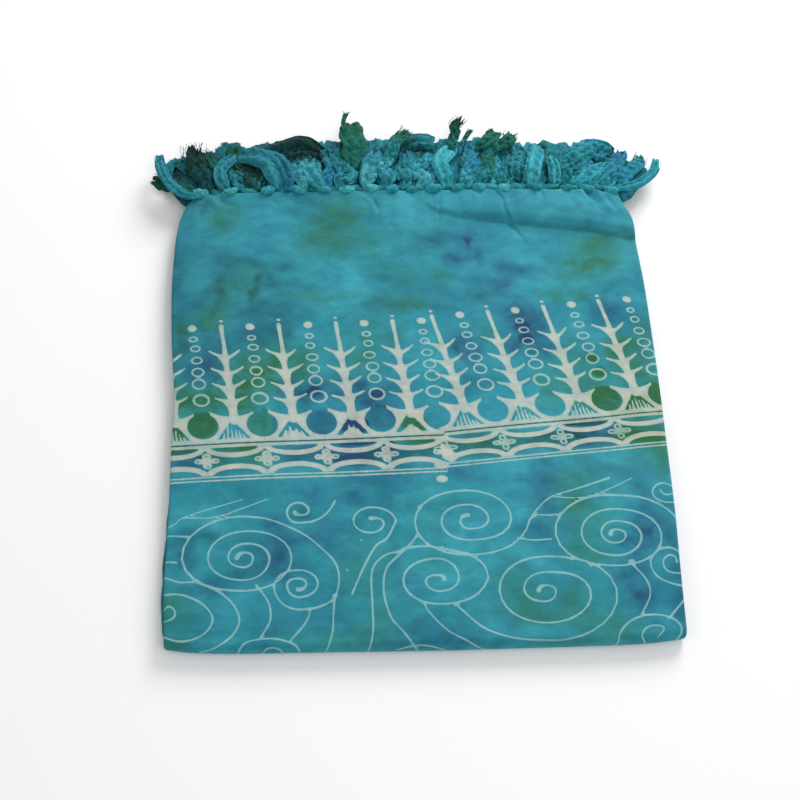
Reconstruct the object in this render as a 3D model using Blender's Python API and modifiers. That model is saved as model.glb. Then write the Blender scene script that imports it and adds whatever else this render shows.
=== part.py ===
"""Folded batik sarong with knotted fringes, lying flat.

Metres, +Z up. The packet's near fold faces -Y, both fringed ends lie at +Y, and the underside
rests on z = 0. The origin is the middle of the underside, without the fringe.
"""

import math
import random

import bmesh
import bpy
from mathutils import Vector

MM = 0.001

# Sizes of the packet
PACKET_THICKNESS = 14 * MM
WALL = 1.3 * MM
GAP = 0.3 * MM
HEM_FROM_MIDDLE = 198 * MM
HEM_HALF_WIDTH = 175 * MM
HEM_BOW = 3.0 * MM
HEM_CORNER_SETBACK = 1.5 * MM
HEM_CORNER_REACH = 1.5 * MM
NEAR_EDGE_FROM_MIDDLE = 200.5 * MM
NEAR_CORNER_SETBACK = 5.5 * MM
PACKET_HALF_WIDTH = 193 * MM

# Folds of the outer cloth
NEAR_FOLD_RADIUS = PACKET_THICKNESS / 2
FAR_FOLD_RADIUS = 3.6 * MM
FAR_FOLD_SETBACK = 10 * MM
FAR_FOLD_SWEEP = math.radians(150)
LIP_RADIUS = 1.9 * MM
LIP_ANGLES = tuple(math.radians(degrees) for degrees in (40, 80, 120))

# Outline of the packet from above, in millimetres: distance along y, left edge, right edge
SIDE_EDGES = (
    (-200, -192.0, 190.5),
    (-150, -193.0, 191.7),
    (-100, -191.5, 193.4),
    (-40, -191.0, 193.8),
    (10, -190.3, 194.0),
    (60, -193.4, 193.5),
    (110, -194.6, 192.5),
    (155, -192.8, 189.8),
    (175, -189.8, 187.8),
    (190, -184.5, 182.0),
    (200, -177.0, 178.5),
)

# Where the cloth's shape is sampled: distances from the hem, in millimetres
TOP_SECTIONS = (0, 4, 10, 18, 26, 34, 43, 54, 72, 102, 142, 186, 230, 276, 320, 360, 391.5)
NEAR_FOLD_STEPS = 6
UNDERSIDE_STEPS = 8
FAR_FOLD_STEPS = 4

# Gathers at the hem, one for each knot, at these distances from the middle in millimetres
KNOTS = (-173, -149, -117, -91, -70, -51, -31, -13, 4, 22, 43, 61, 82, 107, 135, 152, 173)
KNOT_PLACES = tuple(distance * MM for distance in KNOTS)
GATHER_HEIGHT = 1.6 * MM
GATHER_REACH = 18 * MM
HEM_RISE = 1.2 * MM
HEM_RISE_REACH = 25 * MM

# The pleat that crosses the far right of the top layer
PLEAT_START = (28 * MM, 178.5 * MM)
PLEAT_END = (187 * MM, 157 * MM)
PLEAT_HEIGHT = 4.2 * MM
PLEAT_SLOPE = 7 * MM
PLEAT_GROWTH = 110 * MM
PLEAT_CREST = 8 * MM
PLEAT_SETTLING = 0.45
PLEAT_SETTLING_REACH = 25 * MM

# Soft waves of the top layer: height, waves a metre along x and y, phase
TOP_WAVES = (
    (0.45, 5.5, 2.0, 0.4),
    (0.35, -3.1, 6.4, 1.9),
    (0.25, 9.0, 4.7, 3.6),
)
WAVE_FREE_NEAR = 12 * MM
WAVE_GROWTH_NEAR = 60 * MM
WAVE_GROWTH_SIDE = 25 * MM

# The hidden plies, in millimetres: height, inset from the packet's side, setback from the hem
PLY_LEVELS = (
    (1.6, 5.0, 16.0),
    (2.4, 2.7, 12.2),
    (3.5, 2.0, 11.8),
    (4.6, 0.4, 12.1),
    (5.8, 1.9, 14.3),
    (7.0, 0.3, 14.3),
    (8.2, 1.8, 8.2),
    (9.3, 0.2, 8.0),
    (10.5, 2.3, 8.1),
    (11.6, 3.2, 8.8),
    (12.3, 5.5, 11.0),
)
PLY_RIDGE_LEVELS = (3, 5, 7)
PLY_WANDER = 0.5 * MM
PLY_WANDER_LENGTH = 39 * MM
PLY_WANDER_PHASE = 2.3
FAR_SIDE_INSET = 2.3 * MM
FAR_SIDE_START = 128 * MM
FAR_SIDE_GROWTH = 30 * MM
PEEK_WIDTH = 3.0 * MM
PEEK_START = -62 * MM
PEEK_GROWTH = 40 * MM
PEEK_END = -194 * MM
PEEK_FADE = 12 * MM
PLY_SIDE_STEPS = 16
PLY_END_STEPS = 14
PLY_CORNER_STEPS = 3
PLY_CORNER_RADIUS = 8 * MM

# Rows of fringe, top row first, sizes in millimetres: setback of the strip's near side from the hem,
# height of its middle, knot depth and height, strip depth and height, sides, locks a knot, drop, stray
FRINGE_ROWS = (
    dict(setback=-0.3, middle=14.6, knot=(7.6, 6.8), strip=(3.0, 2.2), sides=8, locks=5, drop=3.0, stray=0.9),
    dict(setback=7.7, middle=9.4, knot=(5.0, 2.8), strip=(2.8, 1.8), sides=6, locks=2, drop=1.9, stray=0.45),
    dict(setback=9.7, middle=6.2, knot=(5.0, 2.5), strip=(2.8, 1.8), sides=6, locks=2, drop=1.5, stray=0.3),
    dict(setback=9.7, middle=3.3, knot=(5.0, 2.3), strip=(2.8, 1.6), sides=6, locks=2, drop=1.4, stray=0.2),
)
KNOT_WIDTH = 12 * MM
KNOT_NECK = 0.25
KNOT_SHOULDER = 0.55
ROW_SHIFT = 3.5 * MM
ROW_NARROWING = 0.02

# Form of a lock, at shares of its length: share, half width in millimetres
TOP_LOCK_FORM = ((0.12, 1.0), (0.4, 1.15), (0.7, 1.2), (1.0, 0.5))
LOWER_LOCK_FORM = ((0.25, 1.15), (0.65, 1.2), (1.0, 0.5))
LOCK_HALF_THICKNESS = 0.9 * MM
LOCK_THINNING = 0.55
LOCK_LENGTH = 58 * MM
LOCK_LENGTH_RANGE = 8 * MM
TIPS_HALF_WIDTH = 178 * MM
LEFT_FAN = math.radians(66)
RIGHT_FAN = math.radians(52)
LOWER_ROW_FAN = 0.75
FAN_SHARPNESS = 9
CORNER_SHORTENING = 0.25
CORNER_NARROWING = 0.4
SIDE_STRAY_SHARE = 0.15
SWAY_TURN = 5.5
CRUMPLE_TURN = 7.0
CRUMPLE_PHASE = 1.7
CURL_SHARE = 0.3
CURL_LIFT = 9 * MM
CURL_LEAST = 0.5

CLOTH_COLOUR = (0.045, 0.285, 0.375, 1.0)
PLY_COLOUR = (0.035, 0.215, 0.290, 1.0)
FRINGE_COLOUR = (0.035, 0.240, 0.300, 1.0)


def clear_scene():
    for item in list(bpy.data.objects):
        bpy.data.objects.remove(item)


def make_collection(name):
    collection = bpy.data.collections.new(name)
    bpy.context.scene.collection.children.link(collection)
    return collection


def make_material(name, colour, roughness):
    material = bpy.data.materials.new(name)
    material.use_nodes = True
    shader = material.node_tree.nodes["Principled BSDF"]
    shader.inputs["Base Color"].default_value = colour
    shader.inputs["Roughness"].default_value = roughness
    shader.inputs["Metallic"].default_value = 0.0
    return material


def add_object(name, bm, material, collection):
    mesh = bpy.data.meshes.new(name)
    bm.to_mesh(mesh)
    bm.free()
    mesh.materials.append(material)
    mesh.shade_smooth()
    item = bpy.data.objects.new(name, mesh)
    collection.objects.link(item)
    return item


def smooth_step(value):
    value = min(max(value, 0.0), 1.0)
    return value * value * (3 - 2 * value)


def mix(first, second, share):
    return first + (second - first) * share


def edge_at(y, column):
    """Reads the left (1) or right (2) edge of the packet at y, on a smooth curve through the table."""
    rows = SIDE_EDGES
    place = min(max(y / MM, rows[0][0]), rows[-1][0])
    last = len(rows) - 2
    start = max(k for k in range(last + 1) if rows[k][0] <= place)
    share = (place - rows[start][0]) / (rows[start + 1][0] - rows[start][0])
    before = rows[max(start - 1, 0)][column]
    first = rows[start][column]
    second = rows[start + 1][column]
    after = rows[min(start + 2, last + 1)][column]
    slope_in = (second - before) / 2
    slope_out = (after - first) / 2
    rise = second - first
    curve = first + slope_in * share
    curve += (3 * rise - 2 * slope_in - slope_out) * share ** 2
    curve += (slope_in + slope_out - 2 * rise) * share ** 3
    return curve * MM


def near_edge(x):
    return -NEAR_EDGE_FROM_MIDDLE + NEAR_CORNER_SETBACK * abs(x / PACKET_HALF_WIDTH) ** 8


def hem(x):
    share = min(abs(x / HEM_HALF_WIDTH), 1.03)
    return HEM_FROM_MIDDLE - HEM_BOW * share ** 2 - HEM_CORNER_SETBACK * share ** 10


def pleat_lift(x, y):
    """Height of the puffed cloth between the pleat's edge and the hem."""
    along = (x - PLEAT_START[0]) / (PLEAT_END[0] - PLEAT_START[0])
    edge = mix(PLEAT_START[1], PLEAT_END[1], along)
    beyond = y - edge
    settle = 1 - PLEAT_SETTLING * smooth_step((beyond - PLEAT_CREST) / PLEAT_SETTLING_REACH)
    grown = smooth_step((x - PLEAT_START[0]) / PLEAT_GROWTH)
    return PLEAT_HEIGHT * grown * settle * smooth_step(beyond / PLEAT_SLOPE + 0.5)


def gather_share(x):
    """0 at a knot and 1 midway between two knots."""
    if x <= KNOT_PLACES[0] or x >= KNOT_PLACES[-1]:
        return 0.0
    after = next(k for k in range(len(KNOT_PLACES)) if KNOT_PLACES[k] >= x)
    first = KNOT_PLACES[after - 1]
    second = KNOT_PLACES[after]
    return math.sin(math.pi * (x - first) / (second - first))


def top_height(x, hem_x, y):
    """Height of the outer cloth's upper face; hem_x is where the same thread meets the hem."""
    from_hem = hem(x) - y
    height = PACKET_THICKNESS
    height += HEM_RISE * math.exp(-from_hem / HEM_RISE_REACH)
    height += GATHER_HEIGHT * gather_share(hem_x) * math.exp(-from_hem / GATHER_REACH)
    height += pleat_lift(x, y)
    free_near = smooth_step((y - near_edge(x) - WAVE_FREE_NEAR) / WAVE_GROWTH_NEAR)
    free_side = smooth_step((PACKET_HALF_WIDTH - abs(x)) / WAVE_GROWTH_SIDE)
    for wave, along_x, along_y, phase in TOP_WAVES:
        turn = 2 * math.pi * (along_x * x + along_y * y) + phase
        height += wave * MM * (1 + math.sin(turn)) * free_near * free_side
    return height


def thread_shares():
    """Shares of the cloth's width that the sections are read at: each knot and each gather's crest."""
    places = [-HEM_HALF_WIDTH - HEM_CORNER_REACH]
    for first, second in zip(KNOT_PLACES, KNOT_PLACES[1:]):
        places += [first, (first + second) / 2]
    places += [KNOT_PLACES[-1], HEM_HALF_WIDTH + HEM_CORNER_REACH]
    width = places[-1] - places[0]
    return [(place - places[0]) / width for place in places], places


def cloth_stations():
    """Each section's stretch of the cloth, and its place along that stretch as a share or an angle."""
    stations = []
    top_length = TOP_SECTIONS[-1]
    for distance in TOP_SECTIONS:
        stations.append(("top", distance / top_length))
    for step in range(1, NEAR_FOLD_STEPS + 1):
        stations.append(("near fold", math.pi * step / NEAR_FOLD_STEPS))
    for step in range(1, UNDERSIDE_STEPS + 1):
        stations.append(("underside", step / UNDERSIDE_STEPS))
    for step in range(1, FAR_FOLD_STEPS + 1):
        stations.append(("far fold", FAR_FOLD_SWEEP * step / FAR_FOLD_STEPS))
    return stations


def cloth_point(kind, place, x, hem_x):
    """Returns y, z and the inward direction (y, z) of the outer cloth's outer face."""
    fold_start = near_edge(x) + NEAR_FOLD_RADIUS
    far_middle = hem(x) - FAR_FOLD_SETBACK - FAR_FOLD_RADIUS
    if kind == "top":
        y = mix(hem(x), fold_start, place)
        return y, top_height(x, hem_x, y), 0.0, -1.0
    if kind == "near fold":
        y = fold_start - NEAR_FOLD_RADIUS * math.sin(place)
        z = NEAR_FOLD_RADIUS * (1 + math.cos(place))
        return y, z, math.sin(place), -math.cos(place)
    if kind == "underside":
        return mix(fold_start, far_middle, place), 0.0, 0.0, 1.0
    y = far_middle + FAR_FOLD_RADIUS * math.sin(place)
    z = FAR_FOLD_RADIUS * (1 - math.cos(place))
    return y, z, -math.sin(place), math.cos(place)


def cloth_section(kind, place, shares, hem_places):
    """One section across the cloth, from the left lip to the right lip."""
    nominal_y = cloth_point(kind, place, 0.0, 0.0)[0]
    left = edge_at(nominal_y, 1)
    right = edge_at(nominal_y, 2)
    section = []
    for angle in reversed(LIP_ANGLES):
        x = left + LIP_RADIUS * (1 - math.sin(angle))
        section.append((x, hem_places[0], LIP_RADIUS * (1 - math.cos(angle))))
    for share, hem_x in zip(shares, hem_places):
        x = mix(left + LIP_RADIUS, right - LIP_RADIUS, share)
        section.append((x, hem_x, 0.0))
    for angle in LIP_ANGLES:
        x = right - LIP_RADIUS * (1 - math.sin(angle))
        section.append((x, hem_places[-1], LIP_RADIUS * (1 - math.cos(angle))))
    points = []
    for x, hem_x, depth in section:
        y, z, inward_y, inward_z = cloth_point(kind, place, x, hem_x)
        points.append(Vector((x, y + inward_y * depth, z + inward_z * depth)))
    return points


def build_outer_cloth(collection):
    bm = bmesh.new()
    shares, hem_places = thread_shares()
    rows = []
    for kind, place in cloth_stations():
        rows.append([bm.verts.new(p) for p in cloth_section(kind, place, shares, hem_places)])
    for upper, lower in zip(rows, rows[1:]):
        for k in range(len(upper) - 1):
            bm.faces.new((upper[k], lower[k], lower[k + 1], upper[k + 1]))
    material = make_material("rayon_cloth", CLOTH_COLOUR, 0.8)
    item = add_object("outer_cloth", bm, material, collection)
    wall = item.modifiers.new("wall", "SOLIDIFY")
    wall.thickness = WALL
    wall.offset = -1
    return item


def perimeter_shares():
    """Points around a square with rounded corners, as shares of the packet's width and depth."""
    corner = PLY_CORNER_RADIUS / PACKET_HALF_WIDTH
    reach = 1 - corner
    points = []
    for k in range(PLY_END_STEPS):
        points.append((mix(-reach, reach, k / PLY_END_STEPS), -1.0))
    corners = ((reach, -reach, -90), (reach, reach, 0), (-reach, reach, 90), (-reach, -reach, 180))
    runs = (("right", PLY_SIDE_STEPS), ("far", PLY_END_STEPS), ("left", PLY_SIDE_STEPS), ("near", 0))
    for (middle_x, middle_y, start), (run, steps) in zip(corners, runs):
        for k in range(PLY_CORNER_STEPS):
            angle = math.radians(start + 90 * k / PLY_CORNER_STEPS)
            points.append((middle_x + corner * math.cos(angle), middle_y + corner * math.sin(angle)))
        for k in range(steps):
            along = mix(-reach, reach, k / steps)
            if run == "right":
                points.append((1.0, along))
            elif run == "far":
                points.append((-along, 1.0))
            else:
                points.append((-1.0, -along))
    return points


def ply_ring(level):
    height, inset, setback = (value * MM for value in PLY_LEVELS[level])
    from_middle = abs(height - NEAR_FOLD_RADIUS)
    inner_radius = NEAR_FOLD_RADIUS - WALL - 1.5 * GAP
    near_bulge = math.sqrt(max(inner_radius ** 2 - from_middle ** 2, 0.0))
    ring = []
    for share_x, share_y in perimeter_shares():
        rough_x = share_x * PACKET_HALF_WIDTH
        near = near_edge(rough_x) + NEAR_FOLD_RADIUS - near_bulge
        far = hem(rough_x) - setback
        y = mix(near, far, (share_y + 1) / 2)
        side_inset = inset + FAR_SIDE_INSET * smooth_step((y - FAR_SIDE_START) / FAR_SIDE_GROWTH)
        outset_left = 0.0
        if level in PLY_RIDGE_LEVELS:
            turn = 2 * math.pi * y / PLY_WANDER_LENGTH + PLY_WANDER_PHASE * level
            side_inset += PLY_WANDER * (1 + math.sin(turn))
            if level < PLY_RIDGE_LEVELS[-1]:
                outset_left = PEEK_WIDTH * smooth_step((PEEK_START - y) / PEEK_GROWTH)
                outset_left *= smooth_step((y - PEEK_END) / PEEK_FADE)
        left = edge_at(y, 1) + side_inset - outset_left
        right = edge_at(y, 2) - side_inset
        ring.append(Vector((mix(left, right, (share_x + 1) / 2), y, height)))
    return ring


def build_folded_layers(collection):
    bm = bmesh.new()
    rings = [[bm.verts.new(p) for p in ply_ring(level)] for level in range(len(PLY_LEVELS))]
    for lower, upper in zip(rings, rings[1:]):
        count = len(lower)
        for k in range(count):
            after = (k + 1) % count
            bm.faces.new((lower[k], lower[after], upper[after], upper[k]))
    bm.faces.new(list(reversed(rings[0])))
    bm.faces.new(rings[-1])
    material = make_material("folded_rayon", PLY_COLOUR, 0.85)
    return add_object("folded_layers", bm, material, collection)


def strip_stations(row, number):
    """Places along the strip with the share of a knot's bulk there, and the cells that carry locks."""
    shift = 0.0
    if number > 0:
        shift = ROW_SHIFT if number % 2 else -ROW_SHIFT
    cells = row["locks"]
    stations = []
    rooted = []
    for place in KNOT_PLACES:
        middle = place * (1 - ROW_NARROWING * number) + shift
        for k in range(cells + 1):
            share = k / cells
            bulk = mix(KNOT_SHOULDER, 1.0, math.sin(math.pi * share))
            if k in (0, cells):
                bulk = KNOT_NECK
            if k < cells:
                rooted.append(len(stations))
            stations.append((middle + KNOT_WIDTH * (share - 0.5), bulk))
    return stations, rooted


def strip_height(row, number, x):
    height = row["middle"] * MM
    if number == 0:
        height += pleat_lift(x, hem(x))
    return height


def strip_ring(row, number, x, bulk):
    depth = mix(row["strip"][0], row["knot"][0], bulk) * MM
    height = mix(row["strip"][1], row["knot"][1], bulk) * MM
    middle_y = hem(x) - row["setback"] * MM + depth / 2
    middle_z = strip_height(row, number, x)
    sides = row["sides"]
    ring = []
    for k in range(sides):
        angle = 2 * math.pi * (k - 0.5) / sides
        y = middle_y + depth / 2 * math.cos(angle) / math.cos(math.pi / sides)
        z = middle_z + height / 2 * math.sin(angle)
        ring.append(Vector((x, min(max(y, middle_y - depth / 2), middle_y + depth / 2), z)))
    return ring


def corner_share(x):
    return (abs(x) / (HEM_HALF_WIDTH + 5 * MM)) ** FAN_SHARPNESS


def lock_heading(x, lane, lanes, number):
    """Locks spread evenly towards their tips, and fan out at both corners."""
    tip_x = mix(-TIPS_HALF_WIDTH, TIPS_HALF_WIDTH, (lane + 0.5) / lanes)
    fan = LEFT_FAN if x < 0 else RIGHT_FAN
    if number > 0:
        fan *= LOWER_ROW_FAN
    return math.copysign(fan * corner_share(x), x) + math.atan2(tip_x - x, LOCK_LENGTH)


def grow_lock(bm, face, row, number, heading, chance):
    """Draws a four-sided lock out of one face of the strip."""
    root = face.calc_center_median()
    along = Vector((math.sin(heading), math.cos(heading), 0.0))
    across = Vector((math.cos(heading), -math.sin(heading), 0.0))
    corners = [
        (math.copysign(1.0, v.co.x - root.x), math.copysign(1.0, v.co.z - root.z)) for v in face.verts
    ]
    length = LOCK_LENGTH + LOCK_LENGTH_RANGE * (2 * chance.random() - 1)
    length *= 1 - CORNER_SHORTENING * corner_share(root.x)
    phase = chance.uniform(0.0, 2 * math.pi)
    curls = number == 0 and chance.random() < CURL_SHARE
    lift = CURL_LIFT * chance.uniform(CURL_LEAST, 1.0) if curls else 0.0
    stray = row["stray"] * MM
    form = TOP_LOCK_FORM if number == 0 else LOWER_LOCK_FORM
    for share, half_width in form:
        sway = stray * SIDE_STRAY_SHARE * (math.sin(phase + SWAY_TURN * share) - math.sin(phase))
        middle = root + along * (length * share) + across * sway
        middle.z -= row["drop"] * MM * smooth_step(share)
        middle.z += stray * math.sin(CRUMPLE_PHASE * phase + CRUMPLE_TURN * share) * share
        middle.z += lift * share ** 3
        width = half_width * MM * (1 - CORNER_NARROWING * corner_share(root.x))
        thickness = LOCK_HALF_THICKNESS * (1 - LOCK_THINNING * share)
        face = bmesh.ops.extrude_discrete_faces(bm, faces=[face])["faces"][0]
        for v, (side, level) in zip(face.verts, corners):
            v.co = middle + across * (side * width) + Vector((0.0, 0.0, level * thickness))


def build_fringe_row(row, number, material, collection):
    bm = bmesh.new()
    chance = random.Random(40 + number)
    stations, rooted = strip_stations(row, number)
    rings = [[bm.verts.new(p) for p in strip_ring(row, number, x, bulk)] for x, bulk in stations]
    sides = row["sides"]
    lock_faces = []
    for index, (ring, following) in enumerate(zip(rings, rings[1:])):
        for k in range(sides):
            after = (k + 1) % sides
            face = bm.faces.new((ring[k], following[k], following[after], ring[after]))
            if k == 0 and index in rooted:
                lock_faces.append(face)
    bm.faces.new(rings[0])
    bm.faces.new(list(reversed(rings[-1])))
    bmesh.ops.recalc_face_normals(bm, faces=bm.faces)
    for lane, face in enumerate(lock_faces):
        heading = lock_heading(face.calc_center_median().x, lane, len(lock_faces), number)
        grow_lock(bm, face, row, number, heading, chance)
    return add_object("fringe_" + str(number + 1), bm, material, collection)


clear_scene()
sarong = make_collection("folded_sarong")
build_outer_cloth(sarong)
build_folded_layers(sarong)
fringe_material = make_material("rayon_fringe", FRINGE_COLOUR, 0.85)
for row_number, row_sizes in enumerate(FRINGE_ROWS):
    build_fringe_row(row_sizes, row_number, fringe_material, sarong)
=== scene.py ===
import math
import random

import bpy
import numpy as np
from mathutils import Matrix, Vector


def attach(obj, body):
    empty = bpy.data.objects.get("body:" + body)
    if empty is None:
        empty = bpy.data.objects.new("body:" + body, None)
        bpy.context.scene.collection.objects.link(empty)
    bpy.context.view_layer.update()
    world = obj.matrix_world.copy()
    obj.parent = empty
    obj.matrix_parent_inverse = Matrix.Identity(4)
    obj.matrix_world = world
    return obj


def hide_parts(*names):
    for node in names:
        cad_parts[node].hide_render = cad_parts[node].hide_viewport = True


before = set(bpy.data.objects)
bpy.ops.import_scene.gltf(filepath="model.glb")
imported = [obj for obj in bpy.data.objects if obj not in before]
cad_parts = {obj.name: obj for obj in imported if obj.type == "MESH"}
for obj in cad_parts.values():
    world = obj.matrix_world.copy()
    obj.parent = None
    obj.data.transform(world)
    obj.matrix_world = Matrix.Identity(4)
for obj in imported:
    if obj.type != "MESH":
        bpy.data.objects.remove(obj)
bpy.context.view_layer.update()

# The upper cloth
# The width of the sarong that lies on top: plain-woven rayon, folded under at the near edge and at
# both sides. Its far hem is gathered a little by the seventeen tassels that are knotted into it.
MM = 0.001
THICKNESS = 14.0
HEM_MIDDLE = 198.0
HEM_HALF = 175.0
HEM_BOW = 3.0
HEM_CORNER = 1.5
NEAR_MIDDLE = 200.5
NEAR_CORNER = 5.5
HALF_WIDTH = 193.0
FOLD_RADIUS = THICKNESS / 2
LIP_RADIUS = 1.9
LIP_ANGLES = (20, 45, 70, 95, 120)
FOLD_WANDER = 0.35
FOLD_WANDER_LENGTH = 37.0
KNOTS = (-173, -149, -117, -91, -70, -51, -31, -13, 4, 22, 43, 61, 82, 107, 135, 152, 173)

# Side edges of the folded packet: y, left, right
SIDE_EDGES = (
    (-200, -192.0, 190.5),
    (-150, -193.0, 191.7),
    (-100, -191.5, 193.4),
    (-40, -191.0, 193.8),
    (10, -190.3, 194.0),
    (60, -193.4, 193.5),
    (110, -194.6, 192.5),
    (155, -192.8, 189.8),
    (175, -189.8, 187.8),
    (190, -184.5, 182.0),
    (200, -177.0, 178.5),
)

# The pleat's puffed edge, from its start at the left: where it meets the lower cloth, and its crest
PLEAT_FOOT = ((9, 187), (27, 175.5), (55, 169.5), (86, 165.5), (117, 161.5), (148, 158), (187, 149.5))
PLEAT_CREST = ((9, 188), (27, 179.5), (55, 176), (86, 173.8), (117, 171.6), (148, 168.6), (187, 160.5))
PLEAT_START = 9.0
PLEAT_HEIGHT = 5.6
PLEAT_GROWTH = 75.0
PLEAT_RAMP = 12.0  # length over which the pleat starts at the left
PLEAT_LEAST = 0.25  # share of its height that it has there
PLEAT_SETTLE = 0.55  # share of its height that it loses behind its crest
PLEAT_SETTLE_LENGTH = 26.0
PLEAT_OVERHANG = 0.8
OVERHANG_BEYOND = 1.5  # how far past the pleat's foot it leans over most, and how fast that ends
OVERHANG_REACH = 1.8

# What the hem does to the top, as height and how far back it fades: the whole rise of it, the swell
# between two knots, and the fine puckers
HEM_RISES = ((1.2, 25), (1.7, 16), (0.22, 11))
PUCKER_LENGTH = 2.3
PUCKER_CHANGE = 17.0  # the puckers are closer and wider by turns over this length

# Each knot pulls the hem out, it draws back between two knots, and this fades away from the hem
KNOT_PULL = 1.6
KNOT_DRAW = 2.6
KNOT_FADE = 3.0
HEM_MARGIN = 1.5  # how far past the hem's half width its outermost thread is

# Soft waves of the top: height, waves a metre along x and y, phase
TOP_WAVES = ((0.45, 5.5, 2.0, 0.4), (0.35, -3.1, 6.4, 1.9), (0.25, 9.0, 4.7, 3.6))
WAVES_NEAR_START = 12.0  # they start this far from the near edge and grow over the next length
WAVES_NEAR_GROWTH = 60.0
WAVES_SIDE_GROWTH = 25.0

# Creases: height (a trough is below zero), half width, and the points that each runs through
CREASES = (
    (-1.50, 1.5, ((-40, 198), (-36, 195), (-29.5, 189.6), (-24.8, 179), (-25.2, 166))),
    (0.80, 2.2, ((-36, 193), (-31, 187), (-27.5, 178), (-28.2, 168))),
    (-1.30, 1.3, ((28.4, 199), (26.7, 186), (25.5, 171), (26.8, 163))),
    (-1.60, 1.4, ((72, 199), (79.6, 188), (80, 177), (85.6, 163), (94, 152), (100, 141))),
    (0.80, 2.2, ((75, 198), (82.6, 187), (83.4, 176), (89, 162), (97.5, 151), (103, 141))),
    (-1.30, 1.6, ((108, 199), (106, 190), (103, 182))),
    (-1.10, 1.4, ((112, 199), (114, 189), (113, 181))),
    (0.90, 3.0, ((136, 200), (128.6, 192), (121, 184), (110, 180))),
    (2.00, 3.4, ((144, 200), (154, 186), (163, 172))),
    (-1.80, 2.2, ((149.4, 198), (159, 181), (163, 171))),
    (1.80, 2.8, ((156, 200), (166, 184), (174, 168))),
    (-1.40, 1.8, ((163, 199), (171, 184), (179, 168))),
    (1.10, 2.4, ((172, 198), (178, 183), (184, 168))),
    (-0.80, 1.6, ((175, 199), (181, 181), (187, 166))),
    (1.40, 3.0, ((-172, 195), (-160, 184), (-150, 178))),
    (-1.30, 2.0, ((-165, 196), (-152, 186), (-140, 182))),
    (0.60, 2.6, ((-173, 192), (-178, 178), (-182, 160))),
    (-0.45, 2.0, ((-170, 192), (-172, 176), (-173, 158))),
    (0.35, 2.4, ((-149, 198), (-141, 187), (-136, 172))),
    (-0.80, 1.6, ((-117, 199), (-114, 190), (-107, 184))),
    (0.30, 2.0, ((-91, 199), (-96, 188), (-97, 175))),
    (-0.30, 1.6, ((-70, 200), (-66, 189), (-64, 182))),
    (0.30, 1.8, ((-51, 200), (-49, 190), (-50, 178))),
    (-0.35, 1.5, ((-13, 200), (-12, 191), (-15, 184))),
    (-0.30, 1.5, ((4, 200), (5, 190), (8, 183))),
    (0.30, 2.0, ((43, 200), (46, 190), (47, 182))),
    (-0.35, 1.6, ((61, 200), (60, 191), (57, 184))),
    (0.35, 6.0, ((-188, 120), (-120, 112), (-40, 118), (30, 110))),
    (-0.30, 5.0, ((-60, 92), (20, 97), (110, 90), (188, 96))),
    (0.35, 5.0, ((60, 150), (90, 128), (112, 100))),
    (-0.30, 4.0, ((-150, 160), (-128, 140), (-118, 112))),
    (0.30, 6.0, ((-190, -52), (-120, -58), (-50, -52))),
    (-0.35, 5.0, ((-20, -62), (60, -56), (150, -42))),
    (0.40, 4.5, ((120, -195), (132, -160), (128, -120))),
    (-0.35, 4.0, ((-60, -198), (-52, -160), (-66, -118))),
    (0.35, 5.0, ((-186, -176), (-140, -150), (-90, -142))),
)


def smooth(share):
    """Eases from 0 to 1 and is level at both ends."""
    share = np.clip(share, 0.0, 1.0)
    return share * share * (3 - 2 * share)


def side_edge(y, column):
    """Left (1) or right (2) edge of the packet at y, on a smooth curve through the table."""
    table = np.array(SIDE_EDGES)
    place = np.clip(y, table[0, 0], table[-1, 0])
    start = np.clip(np.searchsorted(table[:, 0], place, side="right") - 1, 0, len(table) - 2)
    share = (place - table[start, 0]) / (table[start + 1, 0] - table[start, 0])
    before = table[np.maximum(start - 1, 0), column]
    first = table[start, column]
    second = table[start + 1, column]
    after = table[np.minimum(start + 2, len(table) - 1), column]
    slope_in = (second - before) / 2
    slope_out = (after - first) / 2
    rise = second - first
    curve = first + slope_in * share + (3 * rise - 2 * slope_in - slope_out) * share ** 2
    return curve + (slope_in + slope_out - 2 * rise) * share ** 3


def near_edge(x):
    """The near fold's outermost line, which draws back a little at its corners."""
    return -NEAR_MIDDLE + NEAR_CORNER * np.abs(x / HALF_WIDTH) ** 8


def hem(x):
    """The hem's line across the top, slightly bowed and with rounded corners."""
    share = np.minimum(np.abs(x / HEM_HALF), 1.03)
    return HEM_MIDDLE - HEM_BOW * share ** 2 - HEM_CORNER * share ** 10


def past_pleat(x, y):
    """Distance beyond the pleat's foot, its share of the way to the crest, and the pleat's growth."""
    foot = np.interp(x, *zip(*PLEAT_FOOT))
    crest = np.interp(x, *zip(*PLEAT_CREST))
    return y - foot, (y - foot) / (crest - foot), smooth((x - PLEAT_START) / PLEAT_GROWTH)


def pleat_lift(x, y):
    """Height of the puffed cloth: steep at its foot, round at its crest, and lower towards the hem."""
    beyond, share, grown = past_pleat(x, y)
    rise = np.sin(np.pi / 2 * np.clip(share, 0, 1)) ** 0.8
    past_crest = (share - 0.9) * (beyond / np.maximum(share, 0.1))
    settle = 1 - PLEAT_SETTLE * smooth(past_crest / PLEAT_SETTLE_LENGTH)
    height = PLEAT_HEIGHT * (PLEAT_LEAST + (1 - PLEAT_LEAST) * grown)
    return height * smooth((x - PLEAT_START) / PLEAT_RAMP) * settle * rise


def gather_share(x):
    """0 at a knot and 1 midway between two knots."""
    knots = np.array(KNOTS, dtype=float)
    after = np.clip(np.searchsorted(knots, x), 1, len(knots) - 1)
    share = (x - knots[after - 1]) / (knots[after] - knots[after - 1])
    return np.sin(np.pi * np.clip(share, 0, 1))


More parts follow.
